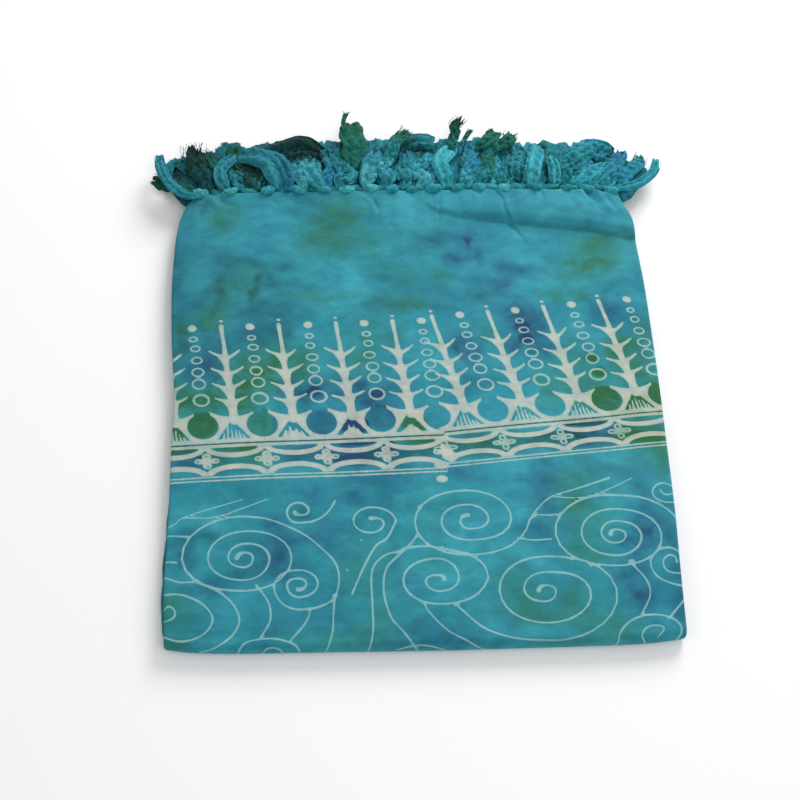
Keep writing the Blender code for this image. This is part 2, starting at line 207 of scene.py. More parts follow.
def stretch_distance(x, y, start, end):
    """Distance from each point to a straight stretch, and the share along it of the nearest place."""
    run_x, run_y = end[0] - start[0], end[1] - start[1]
    share = ((x - start[0]) * run_x + (y - start[1]) * run_y) / max(run_x ** 2 + run_y ** 2, 1e-9)
    share = np.clip(share, 0, 1)
    return np.hypot(x - start[0] - share * run_x, y - start[1] - share * run_y), share


def crease_height(x, y):
    """All the creases together; each fades out towards its last point."""
    height = np.zeros_like(x)
    for rise, half_width, points in CREASES:
        nearest = np.full_like(x, 1e6)
        place = np.zeros_like(x)
        for k, (start, end) in enumerate(zip(points, points[1:])):
            distance, share = stretch_distance(x, y, start, end)
            closer = distance < nearest
            nearest = np.where(closer, distance, nearest)
            place = np.where(closer, (k + share) / (len(points) - 1), place)
        fade = smooth((1 - place) * 2.5) * (0.75 + 0.25 * np.sin(9 * place + rise * 7))
        height += rise * fade * np.exp(-(nearest / half_width) ** 2)
    return height


def top_height(x, hem_x, y):
    """Height of the top; hem_x is where the same warp thread meets the hem."""
    from_hem = hem(x) - y
    pucker = np.sin(hem_x / PUCKER_LENGTH + 2.1 * np.sin(hem_x / PUCKER_CHANGE))
    height = THICKNESS + pleat_lift(x, y) + crease_height(x, y)
    for (rise, fade), share in zip(HEM_RISES, (1.0, gather_share(hem_x), pucker)):
        height = height + rise * share * np.exp(-from_hem / fade)
    free_near = smooth((y - near_edge(x) - WAVES_NEAR_START) / WAVES_NEAR_GROWTH)
    free_side = smooth((HALF_WIDTH - np.abs(x)) / WAVES_SIDE_GROWTH)
    for wave, along_x, along_y, phase in TOP_WAVES:
        turn = 2 * np.pi * (along_x * x + along_y * y) * MM + phase
        height = height + wave * (1 + np.sin(turn)) * free_near * free_side
    return height


def spaced(start, end, step):
    """Places from start to just before end, about a step apart."""
    return list(np.linspace(start, end, max(int(round(abs(end - start) / step)), 1) + 1)[:-1])


def cloth_columns(step):
    """Columns across the cloth: share of the flat width, and the lip's angle past either side."""
    columns = [(0.0, math.radians(-angle)) for angle in reversed(LIP_ANGLES)]
    count = int(round(2 * HALF_WIDTH / step))
    columns += [(k / count, 0.0) for k in range(count + 1)]
    columns += [(1.0, math.radians(angle)) for angle in LIP_ANGLES]
    return np.array([c[0] for c in columns]), np.array([c[1] for c in columns])


def across(y, shares, angles):
    """x of each column at y, and how far the lip carries it inward."""
    left = side_edge(y, 1) + LIP_RADIUS
    right = side_edge(y, 2) - LIP_RADIUS
    x = left + (right - left) * shares + LIP_RADIUS * np.sin(angles)
    return x, LIP_RADIUS * (1 - np.cos(angles))


def hem_places(shares):
    """Where the thread of each column meets the hem."""
    return (2 * shares - 1) * (HEM_HALF + HEM_MARGIN)


def grid_faces(rows, columns, around=False):
    """Four-sided faces of a grid of points, row after row."""
    faces = []
    for r in range(rows - 1):
        for c in range(columns if around else columns - 1):
            here = r * columns + c
            beside = r * columns + (c + 1) % columns
            faces.append((here, here + columns, beside + columns, beside))
    return faces


def add_piece(name, points, faces, material):
    mesh = bpy.data.meshes.new(name)
    mesh.from_pydata([tuple(p) for p in np.asarray(points) * MM], [], faces)
    mesh.validate()
    mesh.shade_smooth()
    mesh.materials.append(material)
    piece = bpy.data.objects.new(name, mesh)
    bpy.context.scene.collection.objects.link(piece)
    return piece


def add_values(piece, name, values):
    field = piece.data.attributes.new(name, "FLOAT", "POINT")
    field.data.foreach_set("value", values.astype(np.float32).ravel())


def add_triples(piece, name, triples):
    field = piece.data.attributes.new(name, "FLOAT_VECTOR", "POINT")
    field.data.foreach_set("vector", triples.astype(np.float32).ravel())


class Rows:
    """Rows of points across one sheet of cloth, and where each point is on the flat cloth."""

    def __init__(self):
        self.points, self.flat_x, self.flat_y = [], [], []

    def add(self, x, y, z, flat_y):
        self.points.append(np.stack((x, y, z), axis=1))
        self.flat_x.append(x)
        self.flat_y.append(flat_y)

    def joined(self):
        return [np.concatenate(part) for part in (self.points, self.flat_x, self.flat_y)]


# Rows down the top from the hem: from, to and step, finest over the stamped border
TOP_LENGTH = HEM_MIDDLE + NEAR_MIDDLE - FOLD_RADIUS
TOP_ROWS = ((0.0, 93.0, 1.6), (93.0, 264.0, 1.25), (264.0, TOP_LENGTH, 1.45))
COLUMN_STEP = 1.3
HEM_TURNS = (1.6, 0.7)  # how far below the top the rows of the turned-in hem lie
FOLD_STEPS = 18

shares, angles = cloth_columns(COLUMN_STEP)
thread = hem_places(shares)
top_rows = [place for start, end, step in TOP_ROWS for place in spaced(start, end, step)] + [TOP_LENGTH]
rows = Rows()
for turned in HEM_TURNS:
    x, depth = across(np.full_like(shares, HEM_MIDDLE), shares, angles)
    y = hem(x) - 0.6 * turned
    rows.add(x, y, top_height(x, thread, y) - turned - depth, y + turned)
for distance in top_rows:
    x, depth = across(np.full_like(shares, HEM_MIDDLE - distance), shares, angles)
    fold_start = near_edge(x) + FOLD_RADIUS
    drawn = np.exp(-distance / KNOT_FADE) * (KNOT_PULL - KNOT_DRAW * gather_share(thread))
    y = hem(x) + (fold_start - hem(x)) * distance / TOP_LENGTH + drawn
    z = top_height(x, thread, y)
    beyond, risen, grown = past_pleat(x, y)
    overhang = PLEAT_OVERHANG * grown * np.exp(-((beyond - OVERHANG_BEYOND) / OVERHANG_REACH) ** 2)
    rows.add(x, y - overhang, z - depth, y)
for angle in np.linspace(0, math.pi, FOLD_STEPS + 1)[1:]:
    x, depth = across(np.full_like(shares, -NEAR_MIDDLE + FOLD_RADIUS), shares, angles)
    radius = FOLD_RADIUS - depth
    fold_start = near_edge(x) + FOLD_RADIUS
    wander = FOLD_WANDER * np.sin(x / FOLD_WANDER_LENGTH + 1.3) * math.sin(angle)
    y = fold_start - (radius + wander) * math.sin(angle)
    rows.add(x, y, FOLD_RADIUS + radius * math.cos(angle), fold_start - FOLD_RADIUS * angle)
upper_points, upper_x, upper_y = rows.joined()
upper_faces = grid_faces(len(rows.points), len(shares))


# The wax
# A copper stamp sets the border of trees, and a spouted pen draws the spirals. The wax keeps the dye
# out, so both stay pale. Sizes are millimetres on the cloth; every field is the distance to the wax.
FAR = 9.0


class Wax:
    """Distance from every point of the cloth to the nearest wax, below zero inside it."""

    def __init__(self, x, y):
        self.x, self.y = x, y
        self.field = np.full_like(x, FAR)
        self.offset = np.full((len(x), 2), FAR)
        self.apart = np.full_like(x, FAR)
        self.band = np.full_like(x, FAR)

    def near(self, low_x, low_y, high_x, high_y):
        inside = (self.x > low_x) & (self.x < high_x) & (self.y > low_y) & (self.y < high_y)
        return np.nonzero(inside)[0]

    def lay(self, chosen, distance):
        self.field[chosen] = np.minimum(self.field[chosen], distance)

    def draw(self, points, half_widths):
        """A line through points whose half width runs through half_widths. Of its nearest place, offset
        keeps the way there and field the distance, both in half widths. Apart is how far off its edge is."""
        points = np.asarray(points, dtype=float)
        low = points.min(axis=0) - FAR
        high = points.max(axis=0) + FAR
        chosen = self.near(low[0], low[1], high[0], high[1])
        if not len(chosen):
            return
        widths = np.interp(np.linspace(0, 1, len(points)), np.linspace(0, 1, len(half_widths)), half_widths)
        x, y = self.x[chosen], self.y[chosen]
        for start, end, first, second in zip(points, points[1:], widths, widths[1:]):
            distance, share = stretch_distance(x, y, start, end)
            width = first + (second - first) * share
            way_x = (x - start[0] - share * (end[0] - start[0])) / width
            way_y = (y - start[1] - share * (end[1] - start[1])) / width
            self.keep_nearer(chosen, way_x, way_y, width)

    def drop(self, middle, radius_x, radius_y):
        chosen = self.near(middle[0] - 12, middle[1] - 12, middle[0] + 12, middle[1] + 12)
        way_x = (self.x[chosen] - middle[0]) / radius_x
        way_y = (self.y[chosen] - middle[1]) / radius_y
        self.keep_nearer(chosen, way_x, way_y, radius_x)

    def keep_nearer(self, chosen, way_x, way_y, half_width):
        length = np.hypot(way_x, way_y)
        nearer = length < self.field[chosen]
        self.field[chosen[nearer]] = length[nearer]
        self.apart[chosen[nearer]] = (length * half_width - np.maximum(half_width, 0.7))[nearer]
        self.offset[chosen[nearer]] = np.stack((way_x, way_y), axis=1)[nearer]


def oval(x, y, radius_x, radius_y):
    return (np.hypot(x / radius_x, y / radius_y) - 1) * (radius_x + radius_y) / 2


def curve_through(points, step_count=6):
    """A smooth curve through points, as an array."""
    points = np.asarray(points, dtype=float)
    ends = np.vstack((2 * points[0] - points[1], points, 2 * points[-1] - points[-2]))
    curve = []
    for before, first, second, after in zip(ends, ends[1:], ends[2:], ends[3:]):
        for k in range(step_count):
            t = k / step_count
            curve.append(first + 0.5 * t * (second - before + t * (2 * before - 5 * first + 4 * second - after
                         + t * (3 * (first - second) + after - before))))
    curve.append(points[-1])
    return np.array(curve)


# The stamp's tree, from its foot at t = 0 upwards: trunk as across, up, full width
TRUNK = ((1.6, -1, 7.6), (1.8, 8.3, 6.2), (1.5, 20, 5.6), (1.3, 33, 4.9), (0.9, 48, 4.2), (1.2, 58, 4.0),
         (1.3, 64, 3.2), (1.0, 72, 2.9), (0.9, 83, 3.6))
# Tiers of thorns, which taper down to the trunk: left tip, right tip, height of the neck below, and how
# far the upper edge sags
THORNS = (
    ((-11.6, 61.8), (13.0, 61.6), 45.0, 6.0),
    ((-11.6, 46.2), (14.6, 47.2), 30.0, 5.2),
    ((-11.6, 32.0), (14.2, 34.0), 16.8, 5.0),
    ((-11.4, 19.2), (13.9, 21.2), 6.6, 3.8),
)
# Rings between two trees: up, radius across, radius up, ring's line
RINGS = ((82, 3.6, 3.0, 3.6), (72, 3.9, 2.7, 1.3), (63.3, 4.3, 3.1, 1.3), (52.8, 5.0, 3.5, 1.3),
         (42.2, 5.5, 4.2, 1.4), (31.8, 5.9, 4.8, 1.4), (17.6, 6.9, 5.7, 1.8))
TREE_STEP = 45.7
# Runs of the stamp: first foot, step along, step up, first and last tree, first column of rings, cloth
# between x, and how far the band is drawn in
RUNS = (
    ((-144.7, -14.9), (1, 0.03), (-0.125, 1), -1, 3, 0, (-260, 20), 1.0),
    ((34.7, -7.0), (1, 0.095), (-0.25, 1), 0, 3, 1, (20, 260), 0.94),
)
# What the wax dripped into the triangle at each foot: place, height and half width of each spike
STROKES = ((-8.2, 4.5, 1.0), (-4.6, 9.5, 0.9), (-1.2, 11.5, 0.9), (2.0, 9.0, 0.9), (5.2, 6.5, 1.0),
           (8.6, 3.5, 1.0))
LUMPS = ((-6.6, 5.0, 2.0), (-2.4, 8.0, 1.5), (3.2, 7.0, 2.4), (7.6, 4.0, 1.8), (0.5, 3.0, 4.0))
HILL = ((-5.0, 3.0, 2.6), (-0.6, 5.5, 3.4), (4.2, 3.6, 3.0), (-2.8, 7.6, 1.0), (1.6, 8.2, 0.9))
DRIPS = {(0, 1): LUMPS, (0, 2): HILL, (0, 3): HILL}  # by run and tree; all others dripped in strokes


# How much farther than its own size a slanting stamp can reach
LEAN_LEFT = 28
LEAN_RIGHT = 22
LEAN_UP = 8


def stamp_places(x, y, foot, along, up):
    """Places along and up the stamp, which leans to the left."""
    across_x = x - foot[0]
    across_y = y - foot[1]
    area = along[0] * up[1] - along[1] * up[0]
    s = (across_x * up[1] - across_y * up[0]) / area
    t = (across_y * along[0] - across_x * along[1]) / area
    return s, t


def local_places(wax, foot, along, up, low, high):
    """Indices of the points near one tree, with their places on the stamp."""
    chosen = wax.near(foot[0] + low[0] - LEAN_LEFT, foot[1] + low[1] - LEAN_UP,
                      foot[0] + high[0] + LEAN_RIGHT, foot[1] + high[1] + LEAN_UP)
    return chosen, *stamp_places(wax.x[chosen], wax.y[chosen], foot, along, up)


def thorn(s, t, tip, neck, sag):
    """A thorn on one side: its lower edge curves down to the trunk's neck, its upper edge sags. Those
    on the right curve out later and sag more."""
    side = math.copysign(1, tip[0])
    middle, half_width, neck_up = neck
    neck_s = middle + side * half_width
    rise = np.clip((t - neck_up) / (tip[1] - neck_up), 0, 1)
    power = 2.9 if side > 0 else 1.9
    reach = neck_s + (tip[0] - neck_s) * rise ** power
    slope = (tip[0] - neck_s) * power * rise ** (power - 1) / (tip[1] - neck_up)
    outer = (s - reach) * side / np.hypot(1, slope)
    share = np.clip((s - middle) / (tip[0] - middle), 0, 1)
    drop = sag * (1.15 if side > 0 else 0.9)
    upper = t - tip[1] + drop * (1 - share ** 1.6)
    best = np.maximum.reduce((outer, upper, neck_up - t, (middle - s) * side))
    spine = []
    for part in (0.1, 0.4, 0.7, 1.0):
        spine.append((middle + (tip[0] - middle) * part, tip[1] - drop * (1 - part ** 1.6) - 1.0))
    for number, (start, end) in enumerate(zip(spine, spine[1:])):
        distance, share = stretch_distance(s, t, start, end)
        best = np.minimum(best, distance - 1.7 + 0.32 * (number + share))
    return best


# The tree's foot: the round lobe on either side of it as middle and radii, how far down and out the foot
# goes, its top, which rises from the trunk towards the lobes, the bottom and slope of the open triangle in
# it, and where the drips in that start. Then the drop of wax over the tree's top, as middle and radii.
LOBE = (22.85, -5.0, 12.0, 10.8)
FOOT_BOTTOM = -20.0
FOOT_HALF_WIDTH = 22.9
FOOT_TOP = 2.6
FOOT_TOP_MIDDLE = 1.0
FOOT_TOP_HALF_WIDTH = 16.5
FOOT_TOP_RISE = 4.2
LOBES_START = 17.2
OPEN_BOTTOM = -16.6
OPEN_SLOPE = 12.6 / 16.8
DRIP_START = -16.8
TOP_DROP = (1.3, 87.6, 1.7, 1.2)


def stamp_tree(wax, foot, along, up, squeeze, drips, chance):
    chosen, s, t = local_places(wax, foot, along, up, (-30, -24), (30, 95))
    trunk_up = [part[1] for part in TRUNK]
    best = np.full_like(s, FAR)
    for lower, upper in zip(TRUNK, TRUNK[1:]):
        distance, share = stretch_distance(s, t, lower[:2], upper[:2])
        best = np.minimum(best, distance - (lower[2] + (upper[2] - lower[2]) * share) / 2)
    best = np.minimum(best, oval(s - TOP_DROP[0], t - TOP_DROP[1], *TOP_DROP[2:]))
    for left_tip, right_tip, neck_up, sag in THORNS:
        middle = np.interp(neck_up, trunk_up, [part[0] for part in TRUNK])
        half_width = np.interp(neck_up, trunk_up, [part[2] for part in TRUNK]) / 2
        for tip in (left_tip, right_tip):
            tip = (tip[0] * chance.uniform(0.93, 1.07), tip[1] + chance.uniform(-0.8, 0.8))
            best = np.minimum(best, thorn(s, t, tip, (middle, half_width, neck_up), sag))
    # The foot spreads between two round lobes and leaves an unwaxed triangle into which wax dripped
    t = np.where(t < 0, t / squeeze, t)
    lobe = oval(np.abs(s) - LOBE[0], t - LOBE[1], *LOBE[2:])
    out = np.minimum(np.abs(s - FOOT_TOP_MIDDLE) / FOOT_TOP_HALF_WIDTH, 1.1)
    foot_top = FOOT_TOP + FOOT_TOP_RISE * out ** 2.2
    foot_top = np.where(np.abs(s) > LOBES_START, -6.0, foot_top)
    base = np.maximum.reduce((t - foot_top, FOOT_BOTTOM - t, -lobe, np.abs(s) - FOOT_HALF_WIDTH))
    hollow = np.maximum((np.abs(s) - OPEN_SLOPE * (0.2 - t)) * 0.8, OPEN_BOTTOM - t)
    base = np.maximum(base, -hollow)
    for place, tall, half_width in drips:
        tip = (place * 0.82, DRIP_START + tall * chance.uniform(0.8, 1.2))
        distance, share = stretch_distance(s, t, (place, DRIP_START), tip)
        base = np.minimum(base, distance - half_width * (1.1 - 0.6 * share))
    wax.lay(chosen, np.minimum(best, base))


def stamp_point(foot, along, up, s, t):
    return np.stack((foot[0] + s * along[0] + t * up[0], foot[1] + s * along[1] + t * up[1]), axis=-1)


RINGS_SIDE = -21.9
DOT = (3.7, 3.1)


def stamp_rings(wax, lines, foot, along, up, chance):
    """A column of rings, thin enough to be drawn as the pen's lines are, under a solid dot."""
    turn = np.linspace(0, 2 * math.pi, 25)
    for height, radius_x, radius_y, line in RINGS:
        middle_s = RINGS_SIDE + chance.uniform(-0.5, 0.5)
        radius_x = radius_x * chance.uniform(0.93, 1.07) - line / 2
        if line > radius_y:
            chosen, s, t = local_places(wax, foot, along, up, (-34, 70), (-6, 92))
            wax.lay(chosen, oval(s - middle_s, t - height, *DOT))
            continue
        s = middle_s + radius_x * np.cos(turn)
        t = height + (radius_y - line / 2) * np.sin(turn)
        fatness = [line / 2 * chance.uniform(0.85, 1.15) for _ in range(6)]
        lines.draw(stamp_point(foot, along, up, s, t), fatness + fatness[:1])


# The strip's parts, up from the stamp's foot: middle of the pale strip and half its width; scallops as
# base, way they bulge, and radii within and without; and the flowers' middle and how far along they are
STRIP = (-21.7, 2.0)
SCALLOPS = ((-23.6, -1, (18.4, 4.6), (23.3, 8.8)), (-47.4, 1, (18.4, 5.3), (24.2, 9.6)))
FLOWER_UP = -34.7
FLOWER_SIDE = 22.9
FLOWER_HEART = (4.8, 3.6)
HEART_HOLE = (0.37, 0.23)
PETAL_HOLE = (1.1, 0.7)
# Petals: across, up, radius across, radius up. The second run's are only outlined.
PETALS = ((-6.2, 0, 3.6, 2.4), (6.2, 0, 3.6, 2.4), (0, 3.9, 3.5, 2.8), (0, -3.9, 3.5, 2.8))
OPEN_PETALS = ((-5.5, 0, 3.3, 1.6), (5.5, 0, 3.3, 1.6), (0, 4.3, 2.3, 2.2), (0, -4.3, 2.3, 2.2),
               (0, 0, 1.3, 1.0))


def stamp_band(wax, lines, foot, along, up, limits, squeeze):
    """The pale strip, the scallops that hang and stand, and the flower between them."""
    chosen, s, t = local_places(wax, foot, along, up, (-26, -58), (26, -16))
    kept = (wax.x[chosen] > limits[0]) & (wax.x[chosen] <= limits[1]) & (np.abs(s) < 23.4)
    chosen, s, t = chosen[kept], s[kept], t[kept] / squeeze
    parts = [np.abs(t - STRIP[0]) - STRIP[1]]
    for base, upward, inner, outer in SCALLOPS:
        scallop = np.maximum(oval(s + 0.8, t - base, *outer), -oval(s + 0.8, t - base, *inner))
        parts.append(np.maximum(scallop, (base - t) * upward))
    for side in (-FLOWER_SIDE, FLOWER_SIDE):
        if squeeze < 1:
            turn = np.linspace(0, 2 * math.pi, 13)
            for petal_s, petal_t, radius_s, radius_t in OPEN_PETALS:
                petal = stamp_point(foot, along, up, side + petal_s + radius_s * np.cos(turn),
                                    (petal_t + FLOWER_UP + radius_t * np.sin(turn)) * squeeze)
                lines.draw(petal, (0.75, 0.6, 0.75))
            continue
        across_flower = s - side
        up_flower = t - FLOWER_UP
        flower = oval(across_flower, up_flower, *FLOWER_HEART)
        gaps = [oval(across_flower, up_flower, *HEART_HOLE)]
        for petal_s, petal_t, radius_s, radius_t in PETALS:
            petal = oval(across_flower - petal_s, up_flower - petal_t, radius_s, radius_t)
            flower = np.minimum(flower, petal)
            gaps.append(oval(across_flower - petal_s * 1.1, up_flower - petal_t * 1.1, *PETAL_HOLE))
        parts.append(np.maximum(flower, -np.minimum.reduce(gaps)))
    wax.lay(chosen, np.minimum.reduce(parts))


# Where the two runs of the stamp meet, the wax ran together: x, y, radius across, radius up
MEETING_WAX = ((15.8, -67.7, 4.6, 3.0), (15, -30, 6.5, 3.6), (22, -47.5, 5.0, 5.0), (16, -56, 6.0, 3.4))
BAND_START = 20.5  # the strip's dark line lies this far below the stamp's zero
BAND_LIMITS = (-45, 30)


def stamp_border(wax, lines):
    chance = random.Random(12)
    for number, (foot, along, up, first, last, first_rings, limits, squeeze) in enumerate(RUNS):
        in_run = (wax.x > limits[0]) & (wax.x <= limits[1])
        s, t = stamp_places(wax.x, wax.y, foot, along, up)
        wax.band[in_run] = np.clip(t[in_run] / squeeze + BAND_START, *BAND_LIMITS)
        for k in range(first, last + 2):
            place = (foot[0] + TREE_STEP * k, foot[1] + TREE_STEP * k * along[1])
            if k <= last:
                stamp_tree(wax, place, along, up, squeeze, DRIPS.get((number, k), STROKES), chance)
            if k >= first_rings or first < 0:
                stamp_rings(wax, lines, place, along, up, chance)
            stamp_band(wax, lines, place, along, up, limits, squeeze)
    for x, y, radius_x, radius_y in MEETING_WAX:
        wax.lay(np.arange(len(wax.x)), oval(wax.x - x, wax.y - y, radius_x, radius_y))


# Spirals: middle, turn (1 clockwise, -1 the other way), first direction, radii a quarter turn apart,
# and the tail
SPIRALS = (
    ((-133.1, -129.2), 1, "L",
     (6.7, 4.1, 5.1, 7.2, 13.6, 11.1, 17.6, 17.2, 29.1, 20.8, 34.8, 25.2, 49.5, 32.8),
     ((-118, -98.5), (-102, -105), (-88, -113), (-77, -123), (-67.5, -134), (-64.5, -147), (-68.4, -161.5),
      (-80, -168.5), (-95, -170.3))),
    ((-94.9, -150.4), -1, "B", (4.5, 6.4, 4.1, 8.1, 10.3, 15.1, 10.4, 17.7, 19.5), ()),
    ((33.6, -102.7), -1, "T", (4.6, 5.9, 6.5, 16.4, 13.1, 20.7, 15.4, 34.7, 24.6, 41.8, 27.2, 47),
     ((88, -93), (99, -84), (121, -77), (144.7, -69))),
    ((9.3, -148.7), -1, "R", (4, 3, 10.5, 9.3, 15.1, 16, 27.5, 18.9, 36.8),
     ((43.8, -139.5), (37.5, -133), (29.8, -129.3), (12.8, -124.3), (-2, -122.3), (-15.7, -124.4))),
    ((88.3, -158.9), 1, "L", (5.4, 3.5, 7.5, 8.7, 16.8, 13.6, 35.5, 24.8, 35.5, 25.6, 55.8, 38.5),
     ((68, -196), (52, -192), (38, -185), (21.3, -168.9))),
    ((144.5, -115.4), 1, "L", (3.5, 3.4, 8.4, 7.2, 10.5, 10.3, 20.8, 17.1, 26.3, 20, 37.2, 25, 47.4, 32),
     ((158, -84.2), (171, -86.7), (185.4, -94.2), (198, -108))),
    ((-94.4, -93.8), -1, "L", (2.2, 2.1, 8.7, 7.9, 8.3, 8.4),
     ((-85, -101.5), (-76, -97.5), (-70, -91), (-66.4, -84.5))),
    ((-39.6, -101.3), 1, "T", (2.4, 10.2, 9.2, 13.5, 11.1, 18.9),
     ((-27.7, -114.8), (-36.3, -121.1), (-44, -134), (-50.5, -148), (-55.3, -159))),
)

# Spirals that an edge cuts off, listed point by point
CUT_SPIRALS = (
    ((-196, -156), (-191.8, -156.8), (-182.7, -156.4), (-172.7, -159.5), (-162.6, -166), (-157, -175.1),
     (-160.1, -184.1), (-169.3, -190.5), (-181.7, -192.1), (-196, -187)),
    ((-192, -168.3), (-188.8, -165.5), (-184.7, -168.4), (-184.4, -173.2), (-187.6, -176), (-193, -177.4)),
    ((-196, -142), (-190.3, -144.2), (-181.1, -147.3), (-170.2, -147.8), (-154.6, -154.1), (-142.6, -164.6),
     (-137.5, -177.1), (-142.4, -188.3), (-153, -196.5), (-166, -202)),
    ((196, -89), (191.7, -89.8), (184.1, -89.2), (177.8, -84.7), (178, -78.5), (183.9, -74), (189.7, -74.5),
     (197, -79)),
    ((197, -81), (193.6, -82.3), (188.6, -83.5), (184.9, -82.2), (183.8, -79.6)),
    ((197, -158), (191, -157.4), (181.9, -154.9), (173, -149.7), (169.2, -141.7), (171.1, -133.8),
     (178.5, -127.9), (186.2, -127), (192.4, -131.2), (197, -138)),
    ((189.2, -138.7), (188.2, -134.1), (183.6, -133), (179.4, -136.5), (179.2, -142.5), (183.8, -146.6),
     (197, -148)),
    ((137, -206), (138.8, -200.4), (140.5, -192.8), (148.5, -184.4), (161.1, -179.8), (175, -180.5),
     (183.8, -185.2), (186.3, -191.9), (183, -200)),
    ((160, -206), (158.7, -200.9), (156.6, -195.1), (159.9, -189.8), (166.7, -187.7), (173, -189.3),
     (172.1, -192.6), (168, -197)),
    ((-139, -207), (-138.3, -202.4), (-134.2, -195.1), (-124.4, -192.1), (-111.8, -191.8), (-101, -194.9),
     (-95.6, -198.8), (-93.5, -207)),
    ((-122, -206), (-118.1, -199.7), (-112.7, -198.7), (-108.2, -200.7), (-106, -206)),
)

# Stems that join the spirals, all but straight runs of the pen
STEMS = (
    ((-4.7, -113.4), (-15.7, -124.4), (-30.5, -129.3), (-40.1, -141.5), (-40.5, -168.6), (-40.8, -188.4),
     (-45.6, -208)),
    ((-15.7, -125.5), (-29.0, -139.0), (-31.9, -157.2), (-27.3, -177), (-18, -189), (-8, -204)),
    ((-125.6, -150.5), (-116.6, -164), (-115.2, -177.7), (-121.9, -190.4)),
    ((-85.5, -169.2), (-89.3, -179.8), (-101, -193.9)),
    ((-67.9, -160.3), (-69.2, -174), (-70.2, -188), (-75.9, -206)),
    ((-2.6, -166.3), (1, -174), (13.9, -188.2), (29, -197), (44, -207)),
    ((152.8, -137.3), (164, -151.6), (166, -164), (157.9, -179.1)),
    ((84.9, -98.7), (95, -99.4), (104.9, -98.3)),
    ((70.5, -117.5), (82, -119.5), (95.4, -118.8)),
    ((-200, -110), (-188, -110.7), (-175.4, -111.7)),
    ((-200, -131), (-188.9, -131.3), (-184.2, -131.8)),
    ((191, -168.5), (184.5, -175.5), (177.4, -183.1)),
    ((-24, -203), (-15, -199.8), (-5, -198.8), (4, -200.6), (12, -204)),
)
# Quick strokes that left less wax
THIN_STROKES = (
    ((-200, -107), (-187.5, -101.9), (-180.2, -96.3), (-158, -89), (-135.7, -82.5)),
    ((-180.2, -96.3), (-158.7, -96.7), (-138, -90.5), (-117.6, -82.8)),
    ((99.2, -84.1), (121.4, -85.3), (142, -79), (162.6, -69.3)),
)
# Blobs of wax where the pen rested, and small stray drops
BLOBS = ((-169.5, -146.5), (-4.7, -113.4), (-15.7, -124.4), (-2.2, -90.6), (12.8, -124.1), (29.8, -129.3),
         (109.9, -134.9), (123.8, -139.9), (-67.9, -160.3), (155, -137.3), (21.3, -168.9), (-2, -167),
         (84, -99.5))
DOTS = ((-47.6, -116.6), (-58.6, -140.2), (-53.1, -99.5))
QUARTERS = {"L": (-1, 0), "T": (0, 1), "R": (1, 0), "B": (0, -1)}


def spiral_line(middle, turn, first, radii, tail):
    """Quarter ovals round middle, whose radii are a quarter turn apart, and then the tail."""
    order = "LTRB" if turn > 0 else "LBRT"
    start = order.index(first)
    radii = np.array(radii, dtype=float)
    fine = np.linspace(0, len(radii) - 1, 8 * (len(radii) - 1) + 1)
    quarter = np.minimum(fine.astype(int), len(radii) - 2)
    swept = (fine - quarter) * math.pi / 2
    radius = np.hypot(np.cos(swept) / radii[quarter], np.sin(swept) / radii[quarter + 1]) ** -1
    for _ in range(3):
        radius[1:-1] = (radius[:-2] + 2 * radius[1:-1] + radius[2:]) / 4
    x_first, y_first = QUARTERS[order[start]]
    heading = math.atan2(y_first, x_first) - turn * fine * math.pi / 2
    line = np.stack((middle[0] + radius * np.cos(heading), middle[1] + radius * np.sin(heading)), axis=1)
    if tail:
        line = np.vstack((line[:-1], curve_through([line[-1]] + list(tail), 5)))
    return line


def draw_spirals(wax):
    chance = random.Random(5)
    for middle, turn, first, radii, tail in SPIRALS:
        line = spiral_line(middle, turn, first, radii, tail)
        fatness = [chance.uniform(0.55, 0.88) for _ in range(len(line) // 5 + 2)]
        wax.draw(line, fatness)
        wax.draw(line[:7], (1.7, 1.5, 0.9))
    for stem in STEMS + CUT_SPIRALS:
        line = curve_through(stem, 6)
        wax.draw(line, [chance.uniform(0.5, 0.82) for _ in range(len(line) // 4 + 2)])
    for stroke in THIN_STROKES:
        wax.draw(curve_through(stroke, 6), (0.6, 0.45, 0.42, 0.5, 0.45))
    for middle in BLOBS:
        wax.drop(middle, chance.uniform(1.5, 2.2), chance.uniform(1.3, 1.7))
    for middle in DOTS:
        wax.drop(middle, 0.9, 0.8)


stamped = Wax(upper_x, upper_y)
drawn_line = Wax(upper_x, upper_y)
stamp_border(stamped, drawn_line)
draw_spirals(drawn_line)
